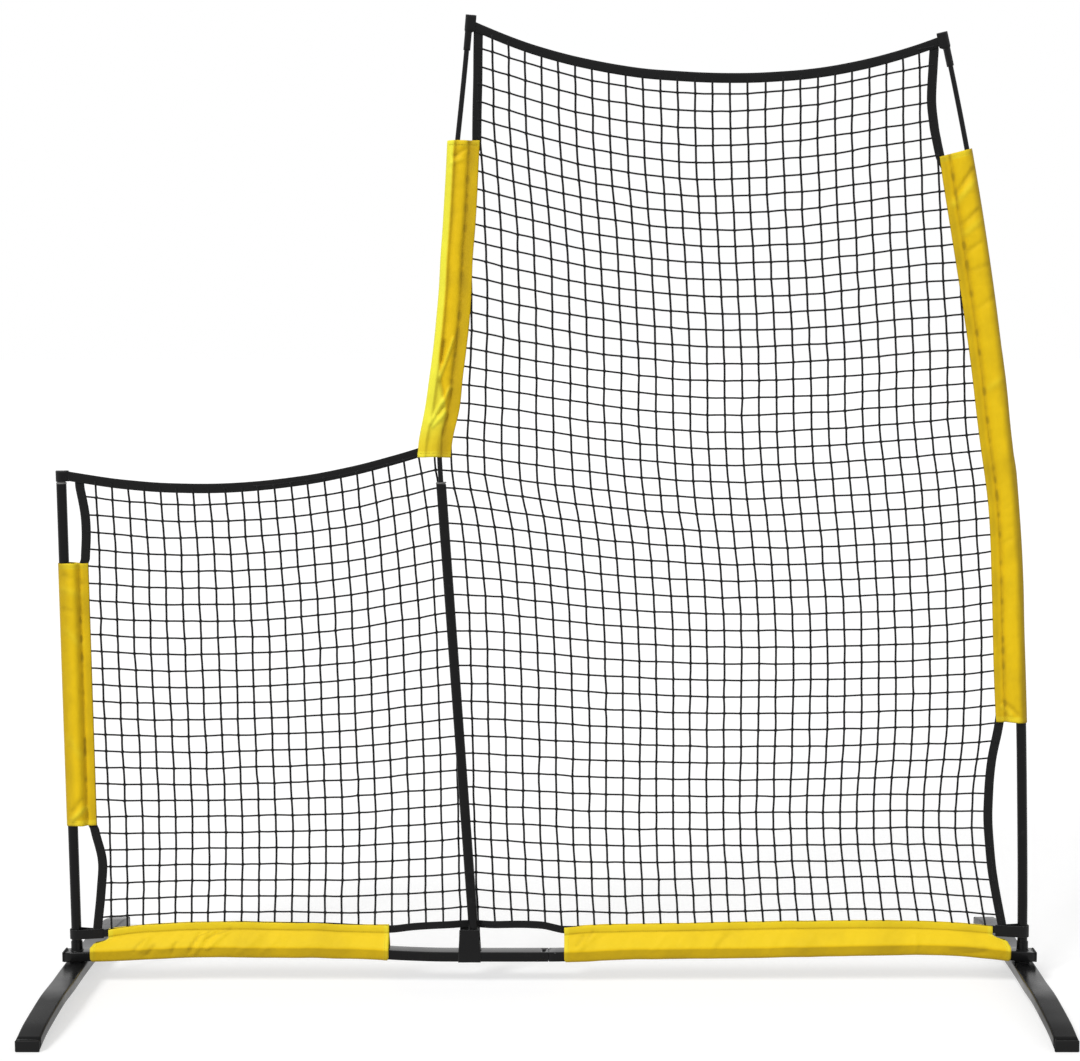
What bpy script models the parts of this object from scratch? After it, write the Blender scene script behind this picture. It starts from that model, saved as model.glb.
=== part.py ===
# Baseball L screen: a knock-down steel base on two swivelling arched feet, three uprights,
# two sprung rods that hold up an L-shaped net, and yellow sleeves that tie the net to them.
# Metres, +Z up, X across the screen, the front towards -Y, the origin on the floor below
# the middle of the base.
import math

import bmesh
import bpy
from mathutils import Vector

# Fits shared by every piece
GAP = 0.0003              # between pieces that touch
OVERRUN = 0.004           # how far a cutter runs past what it cuts
SMALL_STEP = 0.001        # height step that reads the slope of an upright

# Base tube, two halves that join near the middle
FEET_SPAN = 2.114         # from one foot's swivel to the other
TUBE_OVERHANG = 0.0255    # steel past each swivel, before the end cap
TUBE_DEPTH = 0.038
TUBE_HEIGHT = 0.022
TUBE_WALL = 0.0015
TUBE_ROUNDING = 0.003
TUBE_BOTTOM = 0.0555      # above the floor
JOINT_X = -0.002          # where the halves meet
TUBE_CAP_FLANGE = 0.0035
CAP_PLUG = 0.014
CAP_ROUNDING = 0.0012

# Insert that joins the halves, with its snap button
COUPLER_LENGTH = 0.170
COUPLER_WALL = 0.0012
BUTTON_BACK = 0.0105      # from the joint, in the left half
BUTTON_RADIUS = 0.004
BUTTON_PROUD = 0.0036
BUTTON_FLANGE_RADIUS = 0.0062
BUTTON_FLANGE_HEIGHT = 0.0012
BUTTON_HOLE_PLAY = 0.0003
SPRING_LEG = 0.030
SPRING_WIDTH = 0.009
SPRING_THICKNESS = 0.0007

# Feet: flat rectangular tube, arched, one across each end of the base
FOOT_LENGTH = 0.886
FOOT_WIDTH = 0.050
FOOT_HEIGHT = 0.0235
FOOT_WALL = 0.0018
FOOT_ROUNDING = 0.004
FOOT_TOP_MIDDLE = 0.052   # above the floor
FOOT_CLEAR = 0.001        # steel above the floor at the cap
FOOT_CAP_FLANGE = 0.006
FOOT_CAP_PROUD = 0.001
FOOT_SECTIONS = 8

# Bolt that each foot turns on
BOLT_RADIUS = 0.004
BOLT_HEAD_RADIUS = 0.009
BOLT_HEAD_HEIGHT = 0.0045
BOLT_HOLE_PLAY = 0.0003
BOLT_END_PAST_NUT = 0.002
SPACER_RADIUS = 0.016
NUT_ACROSS_CORNERS = 0.015
NUT_HEIGHT = 0.0075
WASHER_RADIUS = 0.012
WASHER_HEIGHT = 0.0018

# Steel uprights in their sockets
POLE_RADIUS = 0.011
POLE_WALL = 0.0012
POLE_TOP = 1.123          # above the floor
SOCKET_WALL = 0.0015
SOCKET_HEIGHT = 0.0205
LEFT_POLE_LEAN = 0.009    # outward, from the base tube to the pole's top
MID_POLE_X = -0.167
MID_POLE_LEAN = 0.069     # to the left

# Sprung rods above the middle and right uprights
ROD_RADIUS = 0.0055
MID_TIP_Z = 2.1284
RIGHT_TIP_Z = 2.0923
RIGHT_BOW = 0.213         # how far the right tip comes in from the socket
RIGHT_BOW_POWER = 2.3
MID_BEND_SHARES = (0.2466, -0.1132)   # second and third powers, of the rod's free height
ROD_SOCKET_DEPTH = 0.050
ROD_SOCKET_FLOOR = 0.003
ROD_SOCKET_FLANGE = 0.003
ROD_SOCKET_RIM = 0.0006   # flange past the steel
ROD_SOCKET_PLAY = 0.0007
ROD_SIDES = 12
ROD_SEAT_GAP = 0.0012
ROD_TIP_LENGTH = 0.018
ROD_TIP_WALL = 0.0012

# Left upright's top plug, which the net's corner pocket sits on
PLUG_PEG_RADIUS = 0.0095
PLUG_PEG_HEIGHT = 0.0235
PLUG_DEPTH = 0.030
PLUG_PLAY = 0.0006        # between the peg and the pocket on it

# Net, its webbing border and its pockets
MESH = 0.0381             # one mesh of the real net, knot to knot
MESHES_PER_CELL = 3       # the solid net keeps every third strand
STRAND = 0.0030
EDGE_CUTS = 2             # extra points on each outer strand of a cell
WEB_WIDTH = 0.0210        # top edges
BOTTOM_WEB_WIDTH = 0.0165
SIDE_WEB_WIDTH = 0.0180
WEB_THICKNESS = 0.0015
POCKET_WALL = 0.0018
MID_POCKET_LENGTH = 0.074
RIGHT_POCKET_LENGTH = 0.0715
LEFT_POCKET_LENGTH = 0.023
UPPER_EDGE_DROP = 0.0138  # top edge below the top of the middle pocket
RIGHT_EDGE_DROP = 0.0092  # and of the right one
UPPER_SAG = 0.0916
UPPER_SAG_POWER = 2.25
LOWER_SAG = 0.0505
LOWER_SAG_POWER = 2.0
LOWER_RIGHT_RISE = 0.047  # right end of the low top edge above its left end
POLE_PUSH = 0.0142        # how far the middle upright pushes the net back
PUSH_WIDTH = 0.045
PUSH_FADE = 0.060         # height over which the push dies out above the upright
SEAM = 0.0018             # each net panel's edge from the seam behind the middle upright
NET_CLEAR = 0.0012        # between the net's outer strands and the cloth beside them

# Yellow sleeves and black straps
CLOTH = 0.0016
SLEEVE_WIDTH = 0.0755
PLY_GAP = WEB_THICKNESS / 2 + GAP     # half the space between closed plies
LEFT_SLEEVE_LOW = 0.3625
LEFT_SLEEVE_DROP = 0.1718              # its top below the top of the upright
MID_SLEEVE_RISE = 0.060                # its lower edge above the top of the upright
MID_SLEEVE_DROP = 0.2634               # its top below the top of the pocket
RIGHT_SLEEVE_LOW = 0.600
RIGHT_SLEEVE_DROP = 0.2503
TAPER_START = 0.070       # above the right upright's top, where its sleeve narrows
TAPER_END = 0.190
SLEEVE_END_SLANT = 0.012  # rise of the right sleeve's top towards the rod
SIDE_REACH = 0.0590       # from the pole's axis to the closed edge of a side sleeve
ROD_REACH = 0.0700        # and from the right rod's axis
MID_SLEEVE_EDGE = 0.0520  # left edge of the middle sleeve from the middle base, at its top
MID_SLEEVE_RUN = 0.0149                # how far the left edge leans out on its way down
MID_SLEEVE_BOW = 0.0546                # and how far it bows out besides
MID_SLEEVE_RADIUS = 0.0086
LEFT_BASE_INSET = 0.0335               # outer end of the left roll from the swivel
RIGHT_BASE_INSET = 0.0297
LEFT_BASE_STOP = 0.1915                # inner end from the middle upright's foot
RIGHT_BASE_STOP = 0.1995
BASE_SLEEVE_SET_BACK = 0.033          # outer end of the flange behind the roll's end
STRAP_LOW = {"left": 0.0991, "right": 0.1060}
STRAP_WIDTH = 0.0240
STRAP_REACH = 0.0605
STRAP_CLOTH = 0.0013
TAB_WIDTH = 0.052
TAB_TOP_WIDTH = 0.046
TAB_SHIFT = 0.0085        # its middle to the left of the middle upright's foot
TAB_TOP = 0.1265

# Places along the border, as shares of the sizes that they follow
LEFT_BORDER_REACH = 0.0460
LEFT_BORDER_SHARES = ((0.110, 1.03), (0.197, 1.28), (0.252, 1.36), (0.321, 1.02), (0.36, 1.05),
                      (0.82, 1.05), (0.847, 1.02), (0.904, 1.11), (0.943, 1.08), (0.998, 0.85))
RIGHT_BORDER_REACH = 0.0500
RIGHT_BORDER_SHARES = ((0.0595, 0.89), (0.111, 1.32), (0.162, 1.57), (0.191, 1.60), (0.243, 1.42),
                       (0.284, 1.06), (0.31, 0.97), (0.45, 0.98), (0.537, 1.19), (0.865, 1.19),
                       (0.890, 1.19), (0.905, 1.166), (0.9346, 1.04), (0.984, 0.49))
BOTTOM_EDGE_Z = 0.1240
BOTTOM_EDGE_RISE = 0.0100
BOTTOM_RISE_SHARES = ((-0.955, -0.95), (-0.85, 0.30), (-0.69, 0.95), (-0.50, 0.85), (-0.34, 0.05),
                      (-0.19, 0.90), (-0.105, 1.05), (0.03, -0.10), (0.24, 0.30), (0.50, 1.00),
                      (0.77, 1.00), (0.94, 0.10), (0.958, -0.10))

HALF_SPAN = FEET_SPAN / 2
TUBE_TOP = TUBE_BOTTOM + TUBE_HEIGHT
POLE_FOOT = TUBE_TOP + GAP
ROD_FOOT = POLE_TOP - ROD_SOCKET_DEPTH + ROD_SOCKET_FLOOR + ROD_SEAT_GAP
POCKET_RADIUS = ROD_RADIUS + GAP + ROD_TIP_WALL + GAP + POCKET_WALL
PLUG_POCKET_RADIUS = PLUG_PEG_RADIUS + PLUG_PLAY + POCKET_WALL
PLUG_TOP = POLE_TOP + ROD_SOCKET_FLANGE + PLUG_PEG_HEIGHT
LEFT_POCKET_TOP = PLUG_TOP + GAP + POCKET_WALL
BUTTON_X = JOINT_X - BUTTON_BACK
TAB_X = MID_POLE_X - TAB_SHIFT
LEFT_SLEEVE_HIGH = POLE_TOP - LEFT_SLEEVE_DROP
MID_SLEEVE_LOW = POLE_TOP + MID_SLEEVE_RISE
MID_SLEEVE_HIGH = MID_TIP_Z - MID_SLEEVE_DROP
RIGHT_SLEEVE_HIGH = RIGHT_TIP_Z - RIGHT_SLEEVE_DROP
LEFT_BASE_SLEEVE = (-HALF_SPAN + LEFT_BASE_INSET, MID_POLE_X - LEFT_BASE_STOP)
RIGHT_BASE_SLEEVE = (MID_POLE_X + RIGHT_BASE_STOP, HALF_SPAN - RIGHT_BASE_INSET)

# Finishes: colour, roughness, metallic
BLACK_STEEL = ((0.018, 0.018, 0.019, 1.0), 0.34, 0.0)
BLACK_PLASTIC = ((0.020, 0.020, 0.021, 1.0), 0.55, 0.0)
GREY_PLASTIC = ((0.30, 0.30, 0.30, 1.0), 0.50, 0.0)
BLACK_ROD = ((0.022, 0.022, 0.023, 1.0), 0.42, 0.0)
ZINC = ((0.62, 0.63, 0.65, 1.0), 0.32, 1.0)
SPRING_STEEL = ((0.50, 0.51, 0.53, 1.0), 0.28, 1.0)
YELLOW_CLOTH = ((0.84, 0.66, 0.020, 1.0), 0.62, 0.0)
BLACK_WEBBING = ((0.017, 0.017, 0.018, 1.0), 0.80, 0.0)
BLACK_TWINE = ((0.020, 0.020, 0.022, 1.0), 0.75, 0.0)


# Scene and object helpers

def empty_scene():
    for old in list(bpy.data.objects):
        bpy.data.objects.remove(old, do_unlink=True)


def new_collection(name):
    collection = bpy.data.collections.new(name)
    bpy.context.scene.collection.children.link(collection)
    return collection


empty_scene()
PARTS = new_collection("l_screen")
CUTTERS = new_collection("l_screen_cutters")


def give_finish(thing, finish):
    colour, roughness, metallic = finish
    material = bpy.data.materials.new(thing.name)
    material.use_nodes = True
    shader = material.node_tree.nodes["Principled BSDF"]
    shader.inputs["Base Color"].default_value = colour
    shader.inputs["Roughness"].default_value = roughness
    shader.inputs["Metallic"].default_value = metallic
    thing.data.materials.append(material)


def keep(name, form, finish, place=(0, 0, 0), smooth=False):
    """Makes a named part of a bmesh, placed at a point that its vertices are measured from."""
    mesh = bpy.data.meshes.new(name)
    form.to_mesh(mesh)
    form.free()
    if smooth:
        mesh.shade_smooth()
        mesh.set_sharp_from_angle(angle=math.radians(35))
    thing = bpy.data.objects.new(name, mesh)
    thing.location = place
    PARTS.objects.link(thing)
    give_finish(thing, finish)
    return thing


def keep_cutter(name, form, place=(0, 0, 0)):
    mesh = bpy.data.meshes.new(name)
    form.to_mesh(mesh)
    form.free()
    cutter = bpy.data.objects.new(name, mesh)
    cutter.location = place
    cutter.hide_render = True
    cutter.display_type = "WIRE"
    CUTTERS.objects.link(cutter)
    return cutter


def cut(thing, cutter):
    boolean = thing.modifiers.new("cut " + cutter.name, "BOOLEAN")
    boolean.operation = "DIFFERENCE"
    boolean.solver = "EXACT"
    boolean.object = cutter


def thicken(thing, thickness, offset):
    solidify = thing.modifiers.new("wall", "SOLIDIFY")
    solidify.thickness = thickness
    solidify.offset = offset
    solidify.use_even_offset = True


def box_form(size, middle=(0, 0, 0)):
    form = bmesh.new()
    bmesh.ops.create_cube(form, size=1)
    bmesh.ops.scale(form, vec=size, verts=form.verts)
    bmesh.ops.translate(form, vec=middle, verts=form.verts)
    return form


def round_long_edges(form, axis, radius, segments=3):
    """Rounds the edges of a box that run along one axis."""
    along = [edge for edge in form.edges
             if abs((edge.verts[0].co - edge.verts[1].co).normalized()[axis]) > 0.99]
    bmesh.ops.bevel(form, geom=along, offset=radius, offset_type="OFFSET", segments=segments,
                    profile=0.5, affect="EDGES", material=-1)


def cylinder_form(radius, low, high, sides=24):
    form = bmesh.new()
    bmesh.ops.create_cone(form, cap_ends=True, segments=sides, radius1=radius, radius2=radius,
                          depth=high - low)
    bmesh.ops.translate(form, vec=(0, 0, (low + high) / 2), verts=form.verts)
    return form


def sheet_form(columns, rows, place):
    """A surface whose points are given by their column and row."""
    form = bmesh.new()
    bmesh.ops.create_grid(form, x_segments=columns, y_segments=rows, size=1)
    for vert in form.verts:
        column = round((vert.co.x + 1) / 2 * columns)
        row = round((vert.co.y + 1) / 2 * rows)
        vert.co = place(column, row)
    return form


def turned(name, profile, finish, place=(0, 0, 0), tilt=0, steps=20):
    """A turned piece: its profile runs down the outside, from the axis back to the axis."""
    form = bmesh.new()
    verts = [form.verts.new((radius, 0, height)) for radius, height in profile]
    for upper, lower in zip(verts, verts[1:]):
        form.edges.new((upper, lower))
    thing = keep(name, form, finish, place)
    thing.rotation_euler = (0, tilt, 0)
    screw = thing.modifiers.new("turn", "SCREW")
    screw.angle = math.tau
    screw.steps = steps
    screw.render_steps = steps
    screw.use_merge_vertices = True
    screw.merge_threshold = 0.00001
    return thing


def mix(low, high, share):
    return low + (high - low) * share


def smooth_share(value, low, high):
    share = min(max((value - low) / (high - low), 0), 1)
    return share * share * (3 - 2 * share)


def along_points(points, at):
    """Reads a smooth curve through points that are sorted by their first value."""
    at = min(max(at, points[0][0]), points[-1][0])
    right = next(i for i in range(1, len(points)) if at <= points[i][0])
    left = right - 1

    def slope(i):
        before, after = points[max(i - 1, 0)], points[min(i + 1, len(points) - 1)]
        return (after[1] - before[1]) / (after[0] - before[0])

    width = points[right][0] - points[left][0]
    share = (at - points[left][0]) / width
    step = smooth_share(at, points[left][0], points[right][0])
    ease_in = share * (1 - share) ** 2 * width * slope(left)
    ease_out = share ** 2 * (1 - share) * width * slope(right)
    return mix(points[left][1], points[right][1], step) + ease_in - ease_out


# Centre lines of the uprights, as X at a height

def left_line(z):
    return -HALF_SPAN - LEFT_POLE_LEAN * (z - TUBE_TOP) / (POLE_TOP - TUBE_TOP)


def mid_line(z):
    lean = MID_POLE_LEAN / (POLE_TOP - TUBE_TOP)
    rise = z - POLE_TOP
    bend = 0
    if rise > 0:
        free = MID_TIP_Z - POLE_TOP
        share = rise / free
        bend = free * (MID_BEND_SHARES[0] * share ** 2 + MID_BEND_SHARES[1] * share ** 3)
    return MID_POLE_X - MID_POLE_LEAN - lean * rise + bend


def right_line(z):
    share = max(z - TUBE_TOP, 0) / (RIGHT_TIP_Z - TUBE_TOP)
    return HALF_SPAN - RIGHT_BOW * share ** RIGHT_BOW_POWER


LINES = {"left": left_line, "mid": mid_line, "right": right_line}


def line_tilt(line, z):
    """The angle about Y that lays a piece along an upright at a height."""
    return math.atan((line(z + SMALL_STEP) - line(z)) / SMALL_STEP)


# The net's plane: behind the middle upright and back to zero at both sides

def push_at(z):
    return POLE_PUSH * (1 - smooth_share(z, POLE_TOP + STRAND, POLE_TOP + PUSH_FADE))


def on_net(x, z, push):
    away = (x - mid_line(z)) / PUSH_WIDTH
    return Vector((x, push * math.exp(-away * away), z))


# Border lines of the net

def left_border(z):
    points = [(share * POLE_TOP, reach * LEFT_BORDER_REACH) for share, reach in LEFT_BORDER_SHARES]
    return left_line(z) + along_points(points, z)


def right_border(z):
    points = [(share * RIGHT_TIP_Z, reach * RIGHT_BORDER_REACH)
              for share, reach in RIGHT_BORDER_SHARES]
    return right_line(z) - along_points(points, z)


def bottom_border(x):
    points = [(share * HALF_SPAN, BOTTOM_EDGE_Z + rise * BOTTOM_EDGE_RISE)
              for share, rise in BOTTOM_RISE_SHARES]
    return along_points(points, x)


def mid_sleeve_left(z):
    share = (MID_SLEEVE_HIGH - z) / (MID_SLEEVE_HIGH - MID_SLEEVE_LOW)
    return MID_POLE_X - MID_SLEEVE_EDGE - MID_SLEEVE_RUN * share - MID_SLEEVE_BOW * share ** 2


def mid_border(z):
    """The border beside the middle rod: free near the top, then inside the sleeve's edge."""
    inside = SIDE_WEB_WIDTH / 2 + CLOTH
    in_sleeve = mid_sleeve_left(min(z, MID_SLEEVE_HIGH)) + SLEEVE_WIDTH - inside
    return mix(in_sleeve, UPPER_LEFT_X, smooth_share(z, MID_SLEEVE_HIGH, MID_TIP_Z))


UPPER_LEFT_X = mid_line(MID_TIP_Z) + POCKET_RADIUS + GAP + SIDE_WEB_WIDTH / 2
MID_BORDER_LOW = MID_SLEEVE_LOW + CLOTH


def sagging(start, end, sag, power, share):
    """A slack edge between two points, lowest near its middle."""
    drop = sag * (1 - abs(2 * share - 1) ** power)
    return Vector((mix(start[0], end[0], share), mix(start[1], end[1], share) - drop))


def upper_top(share):
    start = (mid_line(MID_TIP_Z) + POCKET_RADIUS + GAP,
             MID_TIP_Z - UPPER_EDGE_DROP - WEB_WIDTH / 2)
    end_top = RIGHT_TIP_Z - RIGHT_EDGE_DROP
    end = (right_line(end_top) - POCKET_RADIUS - GAP, end_top - WEB_WIDTH / 2)
    return sagging(start, end, UPPER_SAG, UPPER_SAG_POWER, share)


def lower_top(share):
    left_z = LEFT_POCKET_TOP - WEB_WIDTH / 2
    start = (left_line(left_z) + PLUG_POCKET_RADIUS + GAP, left_z)
    end_x = mid_sleeve_left(MID_SLEEVE_LOW) - CLOTH - GAP
    return sagging(start, (end_x, left_z + LOWER_RIGHT_RISE), LOWER_SAG, LOWER_SAG_POWER, share)


def edge_height(edge, x):
    """The height of a slack top edge at an X."""
    start, end = edge(0).x, edge(1).x
    return edge(min(max((x - start) / (end - start), 0), 1)).y


# Steel base

def make_base_tubes():
    ends = {"left": (-HALF_SPAN - TUBE_OVERHANG, JOINT_X - GAP / 2),
            "right": (JOINT_X + GAP / 2, HALF_SPAN + TUBE_OVERHANG)}
    tubes = {}
    for side, (low, high) in ends.items():
        size = (high - low, TUBE_DEPTH, TUBE_HEIGHT)
        form = box_form(size, ((low + high) / 2, 0, TUBE_BOTTOM + TUBE_HEIGHT / 2))
        round_long_edges(form, 0, TUBE_ROUNDING)
        end_faces = [face for face in form.faces if abs(face.normal.x) > 0.99]
        bmesh.ops.delete(form, geom=end_faces, context="FACES")
        tubes[side] = keep("base_tube_" + side, form, BLACK_STEEL, smooth=True)
        thicken(tubes[side], TUBE_WALL, -1)
        hole = cylinder_form(BOLT_RADIUS + BOLT_HOLE_PLAY, TUBE_BOTTOM - OVERRUN,
                             TUBE_BOTTOM + TUBE_WALL + OVERRUN)
        sign = -1 if side == "left" else 1
        cut(tubes[side], keep_cutter("tube_bolt_hole_" + side, hole, (sign * HALF_SPAN, 0, 0)))
    cut(tubes["left"], button_hole("tube_button_hole"))


def button_hole(name):
    form = cylinder_form(BUTTON_RADIUS + BUTTON_HOLE_PLAY, TUBE_TOP - TUBE_WALL - COUPLER_WALL
                         - OVERRUN, TUBE_TOP + OVERRUN)
    return keep_cutter(name, form, (BUTTON_X, 0, 0))


def make_coupler():
    inset = TUBE_WALL + GAP
    size = (COUPLER_LENGTH, TUBE_DEPTH - 2 * inset, TUBE_HEIGHT - 2 * inset)
    form = box_form(size, (JOINT_X, 0, TUBE_BOTTOM + TUBE_HEIGHT / 2))
    round_long_edges(form, 0, TUBE_ROUNDING - TUBE_WALL)
    end_faces = [face for face in form.faces if abs(face.normal.x) > 0.99]
    bmesh.ops.delete(form, geom=end_faces, context="FACES")
    coupler = keep("base_coupler", form, BLACK_STEEL, smooth=True)
    thicken(coupler, COUPLER_WALL, -1)
    cut(coupler, button_hole("coupler_button_hole"))


def make_snap_button():
    """The button's origin is on its line of travel, at the underside of its flange."""
    flange_top = TUBE_TOP - TUBE_WALL - GAP - COUPLER_WALL - GAP
    flange_low = flange_top - BUTTON_FLANGE_HEIGHT
    head = TUBE_TOP + BUTTON_PROUD - flange_low
    shoulder = head - BUTTON_RADIUS / 2
    profile = [(0, head), (BUTTON_RADIUS * 0.6, head - BUTTON_RADIUS * 0.12),
               (BUTTON_RADIUS * 0.9, head - BUTTON_RADIUS * 0.28), (BUTTON_RADIUS, shoulder),
               (BUTTON_RADIUS, BUTTON_FLANGE_HEIGHT), (BUTTON_FLANGE_RADIUS, BUTTON_FLANGE_HEIGHT),
               (BUTTON_FLANGE_RADIUS, 0), (0, 0)]
    turned("snap_button", profile, ZINC, (BUTTON_X, 0, flange_low), steps=20)
    make_button_spring(flange_low)


def make_button_spring(button_low):
    """A leaf bent to a hairpin: one leg on the coupler's floor, the other under the button."""
    floor = TUBE_BOTTOM + TUBE_WALL + GAP + COUPLER_WALL + GAP
    low = floor + SPRING_THICKNESS / 2
    high = button_low - GAP - SPRING_THICKNESS / 2
    bend = (high - low) / 2
    start = BUTTON_X - BUTTON_FLANGE_RADIUS
    turn = start + SPRING_LEG
    arc_steps = 8
    route = [(start, low)]
    for step in range(arc_steps + 1):
        angle = -math.pi / 2 + math.pi * step / arc_steps
        route.append((turn + bend * math.cos(angle), low + bend + bend * math.sin(angle)))
    route.append((start, high))

    def place(column, row):
        x, z = route[row]
        return Vector((x, (column - 0.5) * SPRING_WIDTH, z))

    spring = keep("button_spring", sheet_form(1, len(route) - 1, place), SPRING_STEEL)
    thicken(spring, SPRING_THICKNESS, 0)


def plug_form(flange, inset, plug, rounding, slope=0):
    """A tube's end cap, flange towards +X: its plug lies inside the tube, along its slope."""
    thickness, depth, height = flange
    form = box_form(flange, (thickness / 2, 0, 0))
    inner = [face for face in form.faces if face.normal.x < -0.99]
    bmesh.ops.inset_region(form, faces=inner, thickness=inset, use_even_offset=True)
    inner = [face for face in form.faces if face.normal.x < -0.99
             and max(abs(vert.co.z) for vert in face.verts) < height / 2 - inset / 2
             and max(abs(vert.co.y) for vert in face.verts) < depth / 2 - inset / 2]
    grown = bmesh.ops.extrude_discrete_faces(form, faces=inner)
    tips = [vert for face in grown["faces"] for vert in face.verts]
    bmesh.ops.translate(form, vec=(-plug, 0, slope * plug), verts=tips)
    long_edges = [edge for edge in form.edges
                  if abs(edge.verts[0].co.x - edge.verts[1].co.x) > plug / 2]
    bmesh.ops.bevel(form, geom=long_edges, offset=rounding, offset_type="OFFSET", segments=2,
                    profile=0.5, affect="EDGES", material=-1)
    outer = [edge for edge in form.edges if all(vert.co.x > -inset / 9 for vert in edge.verts)
             and any(vert.co.x > thickness / 2 for vert in edge.verts)]
    bmesh.ops.bevel(form, geom=outer, offset=CAP_ROUNDING, offset_type="OFFSET", segments=2,
                    profile=0.5, affect="EDGES", material=-1)
    return form


def make_base_end_caps():
    inset = TUBE_WALL + GAP
    middle = TUBE_BOTTOM + TUBE_HEIGHT / 2
    for side, sign in (("left", -1), ("right", 1)):
        form = plug_form((TUBE_CAP_FLANGE, TUBE_DEPTH, TUBE_HEIGHT), inset, CAP_PLUG,
                         TUBE_ROUNDING - TUBE_WALL)
        cap = keep("base_end_cap_" + side, form, BLACK_PLASTIC,
                   (sign * (HALF_SPAN + TUBE_OVERHANG + GAP), 0, middle))
        if sign < 0:
            cap.rotation_euler = (0, 0, math.pi)


# Feet

FOOT_END = FOOT_LENGTH / 2 - FOOT_CAP_FLANGE - GAP
FOOT_DROP = FOOT_TOP_MIDDLE - FOOT_HEIGHT - FOOT_CLEAR


def foot_middle_z(y):
    """The arch: the height of the foot's middle line, a shallow parabola."""
    return FOOT_TOP_MIDDLE - FOOT_HEIGHT / 2 - FOOT_DROP * (y / FOOT_END) ** 2


def make_foot(side, sign):
    """The foot's origin is on its swivel axis, on the floor."""
    form = box_form((FOOT_WIDTH, 2 * FOOT_END, FOOT_HEIGHT))
    round_long_edges(form, 1, FOOT_ROUNDING, 2)
    end_faces = [face for face in form.faces if abs(face.normal.y) > 0.99]
    bmesh.ops.delete(form, geom=end_faces, context="FACES")
    lengthwise = [edge for edge in form.edges
                  if abs(edge.verts[0].co.y - edge.verts[1].co.y) > FOOT_END]
    bmesh.ops.subdivide_edges(form, edges=lengthwise, cuts=FOOT_SECTIONS - 1,
                              use_grid_fill=True)
    for vert in form.verts:
        vert.co.z += foot_middle_z(vert.co.y)
    foot = keep("foot_" + side, form, BLACK_STEEL, (sign * HALF_SPAN, 0, 0), smooth=True)
    thicken(foot, FOOT_WALL, -1)
    hole = cylinder_form(BOLT_RADIUS + BOLT_HOLE_PLAY, FOOT_CLEAR, FOOT_TOP_MIDDLE + OVERRUN)
    cut(foot, keep_cutter("foot_bolt_hole_" + side, hole, (sign * HALF_SPAN, 0, 0)))
    for end, way in (("front", -1), ("rear", 1)):
        make_foot_cap(side, sign, end, way)


def make_foot_cap(side, sign, end, way):
    """The cap's flat underside is what stands on the floor."""
    slope = 2 * FOOT_DROP / FOOT_END
    height = FOOT_HEIGHT + FOOT_CLEAR + FOOT_CAP_PROUD
    inset = FOOT_CAP_PROUD + FOOT_WALL + 2 * GAP
    form = plug_form((FOOT_CAP_FLANGE, FOOT_WIDTH + 2 * FOOT_CAP_PROUD, height), inset, CAP_PLUG,
                     FOOT_ROUNDING - FOOT_WALL, slope)
    cap = keep("foot_cap_{}_{}".format(side, end), form, BLACK_PLASTIC,
               (sign * HALF_SPAN, way * (FOOT_END + GAP), height / 2))
    cap.rotation_euler = (0, 0, way * math.pi / 2)


def make_foot_bolt(side, sign):
    """Bolt head inside the base tube, spacer between tube and foot, washer and nut below."""
    x = sign * HALF_SPAN
    head_low = TUBE_BOTTOM + TUBE_WALL + GAP
    foot_low = FOOT_TOP_MIDDLE - FOOT_HEIGHT
    nut_top = foot_low - GAP - WASHER_HEIGHT - GAP
    bolt_low = nut_top - NUT_HEIGHT - BOLT_END_PAST_NUT
    head_top = head_low + BOLT_HEAD_HEIGHT
    turned("foot_bolt_" + side,
           [(0, head_top), (BOLT_HEAD_RADIUS * 0.6, head_top - BOLT_HEAD_HEIGHT * 0.16),
            (BOLT_HEAD_RADIUS * 0.9, head_top - BOLT_HEAD_HEIGHT * 0.45),
            (BOLT_HEAD_RADIUS, head_low), (BOLT_RADIUS, head_low), (BOLT_RADIUS, bolt_low),
            (0, bolt_low)], ZINC, (x, 0, 0))
    ring = BOLT_RADIUS + BOLT_HOLE_PLAY
    make_ring("foot_spacer_" + side, ring, SPACER_RADIUS, FOOT_TOP_MIDDLE + GAP,
              TUBE_BOTTOM - GAP, BLACK_PLASTIC, (x, 0, 0))
    make_ring("foot_washer_" + side, ring, WASHER_RADIUS, foot_low - GAP - WASHER_HEIGHT,
              foot_low - GAP, ZINC, (x, 0, 0))
    form = cylinder_form(NUT_ACROSS_CORNERS / 2, nut_top - NUT_HEIGHT, nut_top, sides=6)
    nut = keep("foot_nut_" + side, form, ZINC, (x, 0, 0))
    bore = cylinder_form(ring, nut_top - NUT_HEIGHT - OVERRUN, nut_top + OVERRUN)
    cut(nut, keep_cutter("foot_nut_bore_" + side, bore, (x, 0, 0)))


def make_ring(name, inner, outer, low, high, finish, place):
    turned(name, [(inner, high), (outer, high), (outer, low), (inner, low), (inner, high)],
           finish, place)


# Uprights: rings of a tube that follow a centre line

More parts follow.
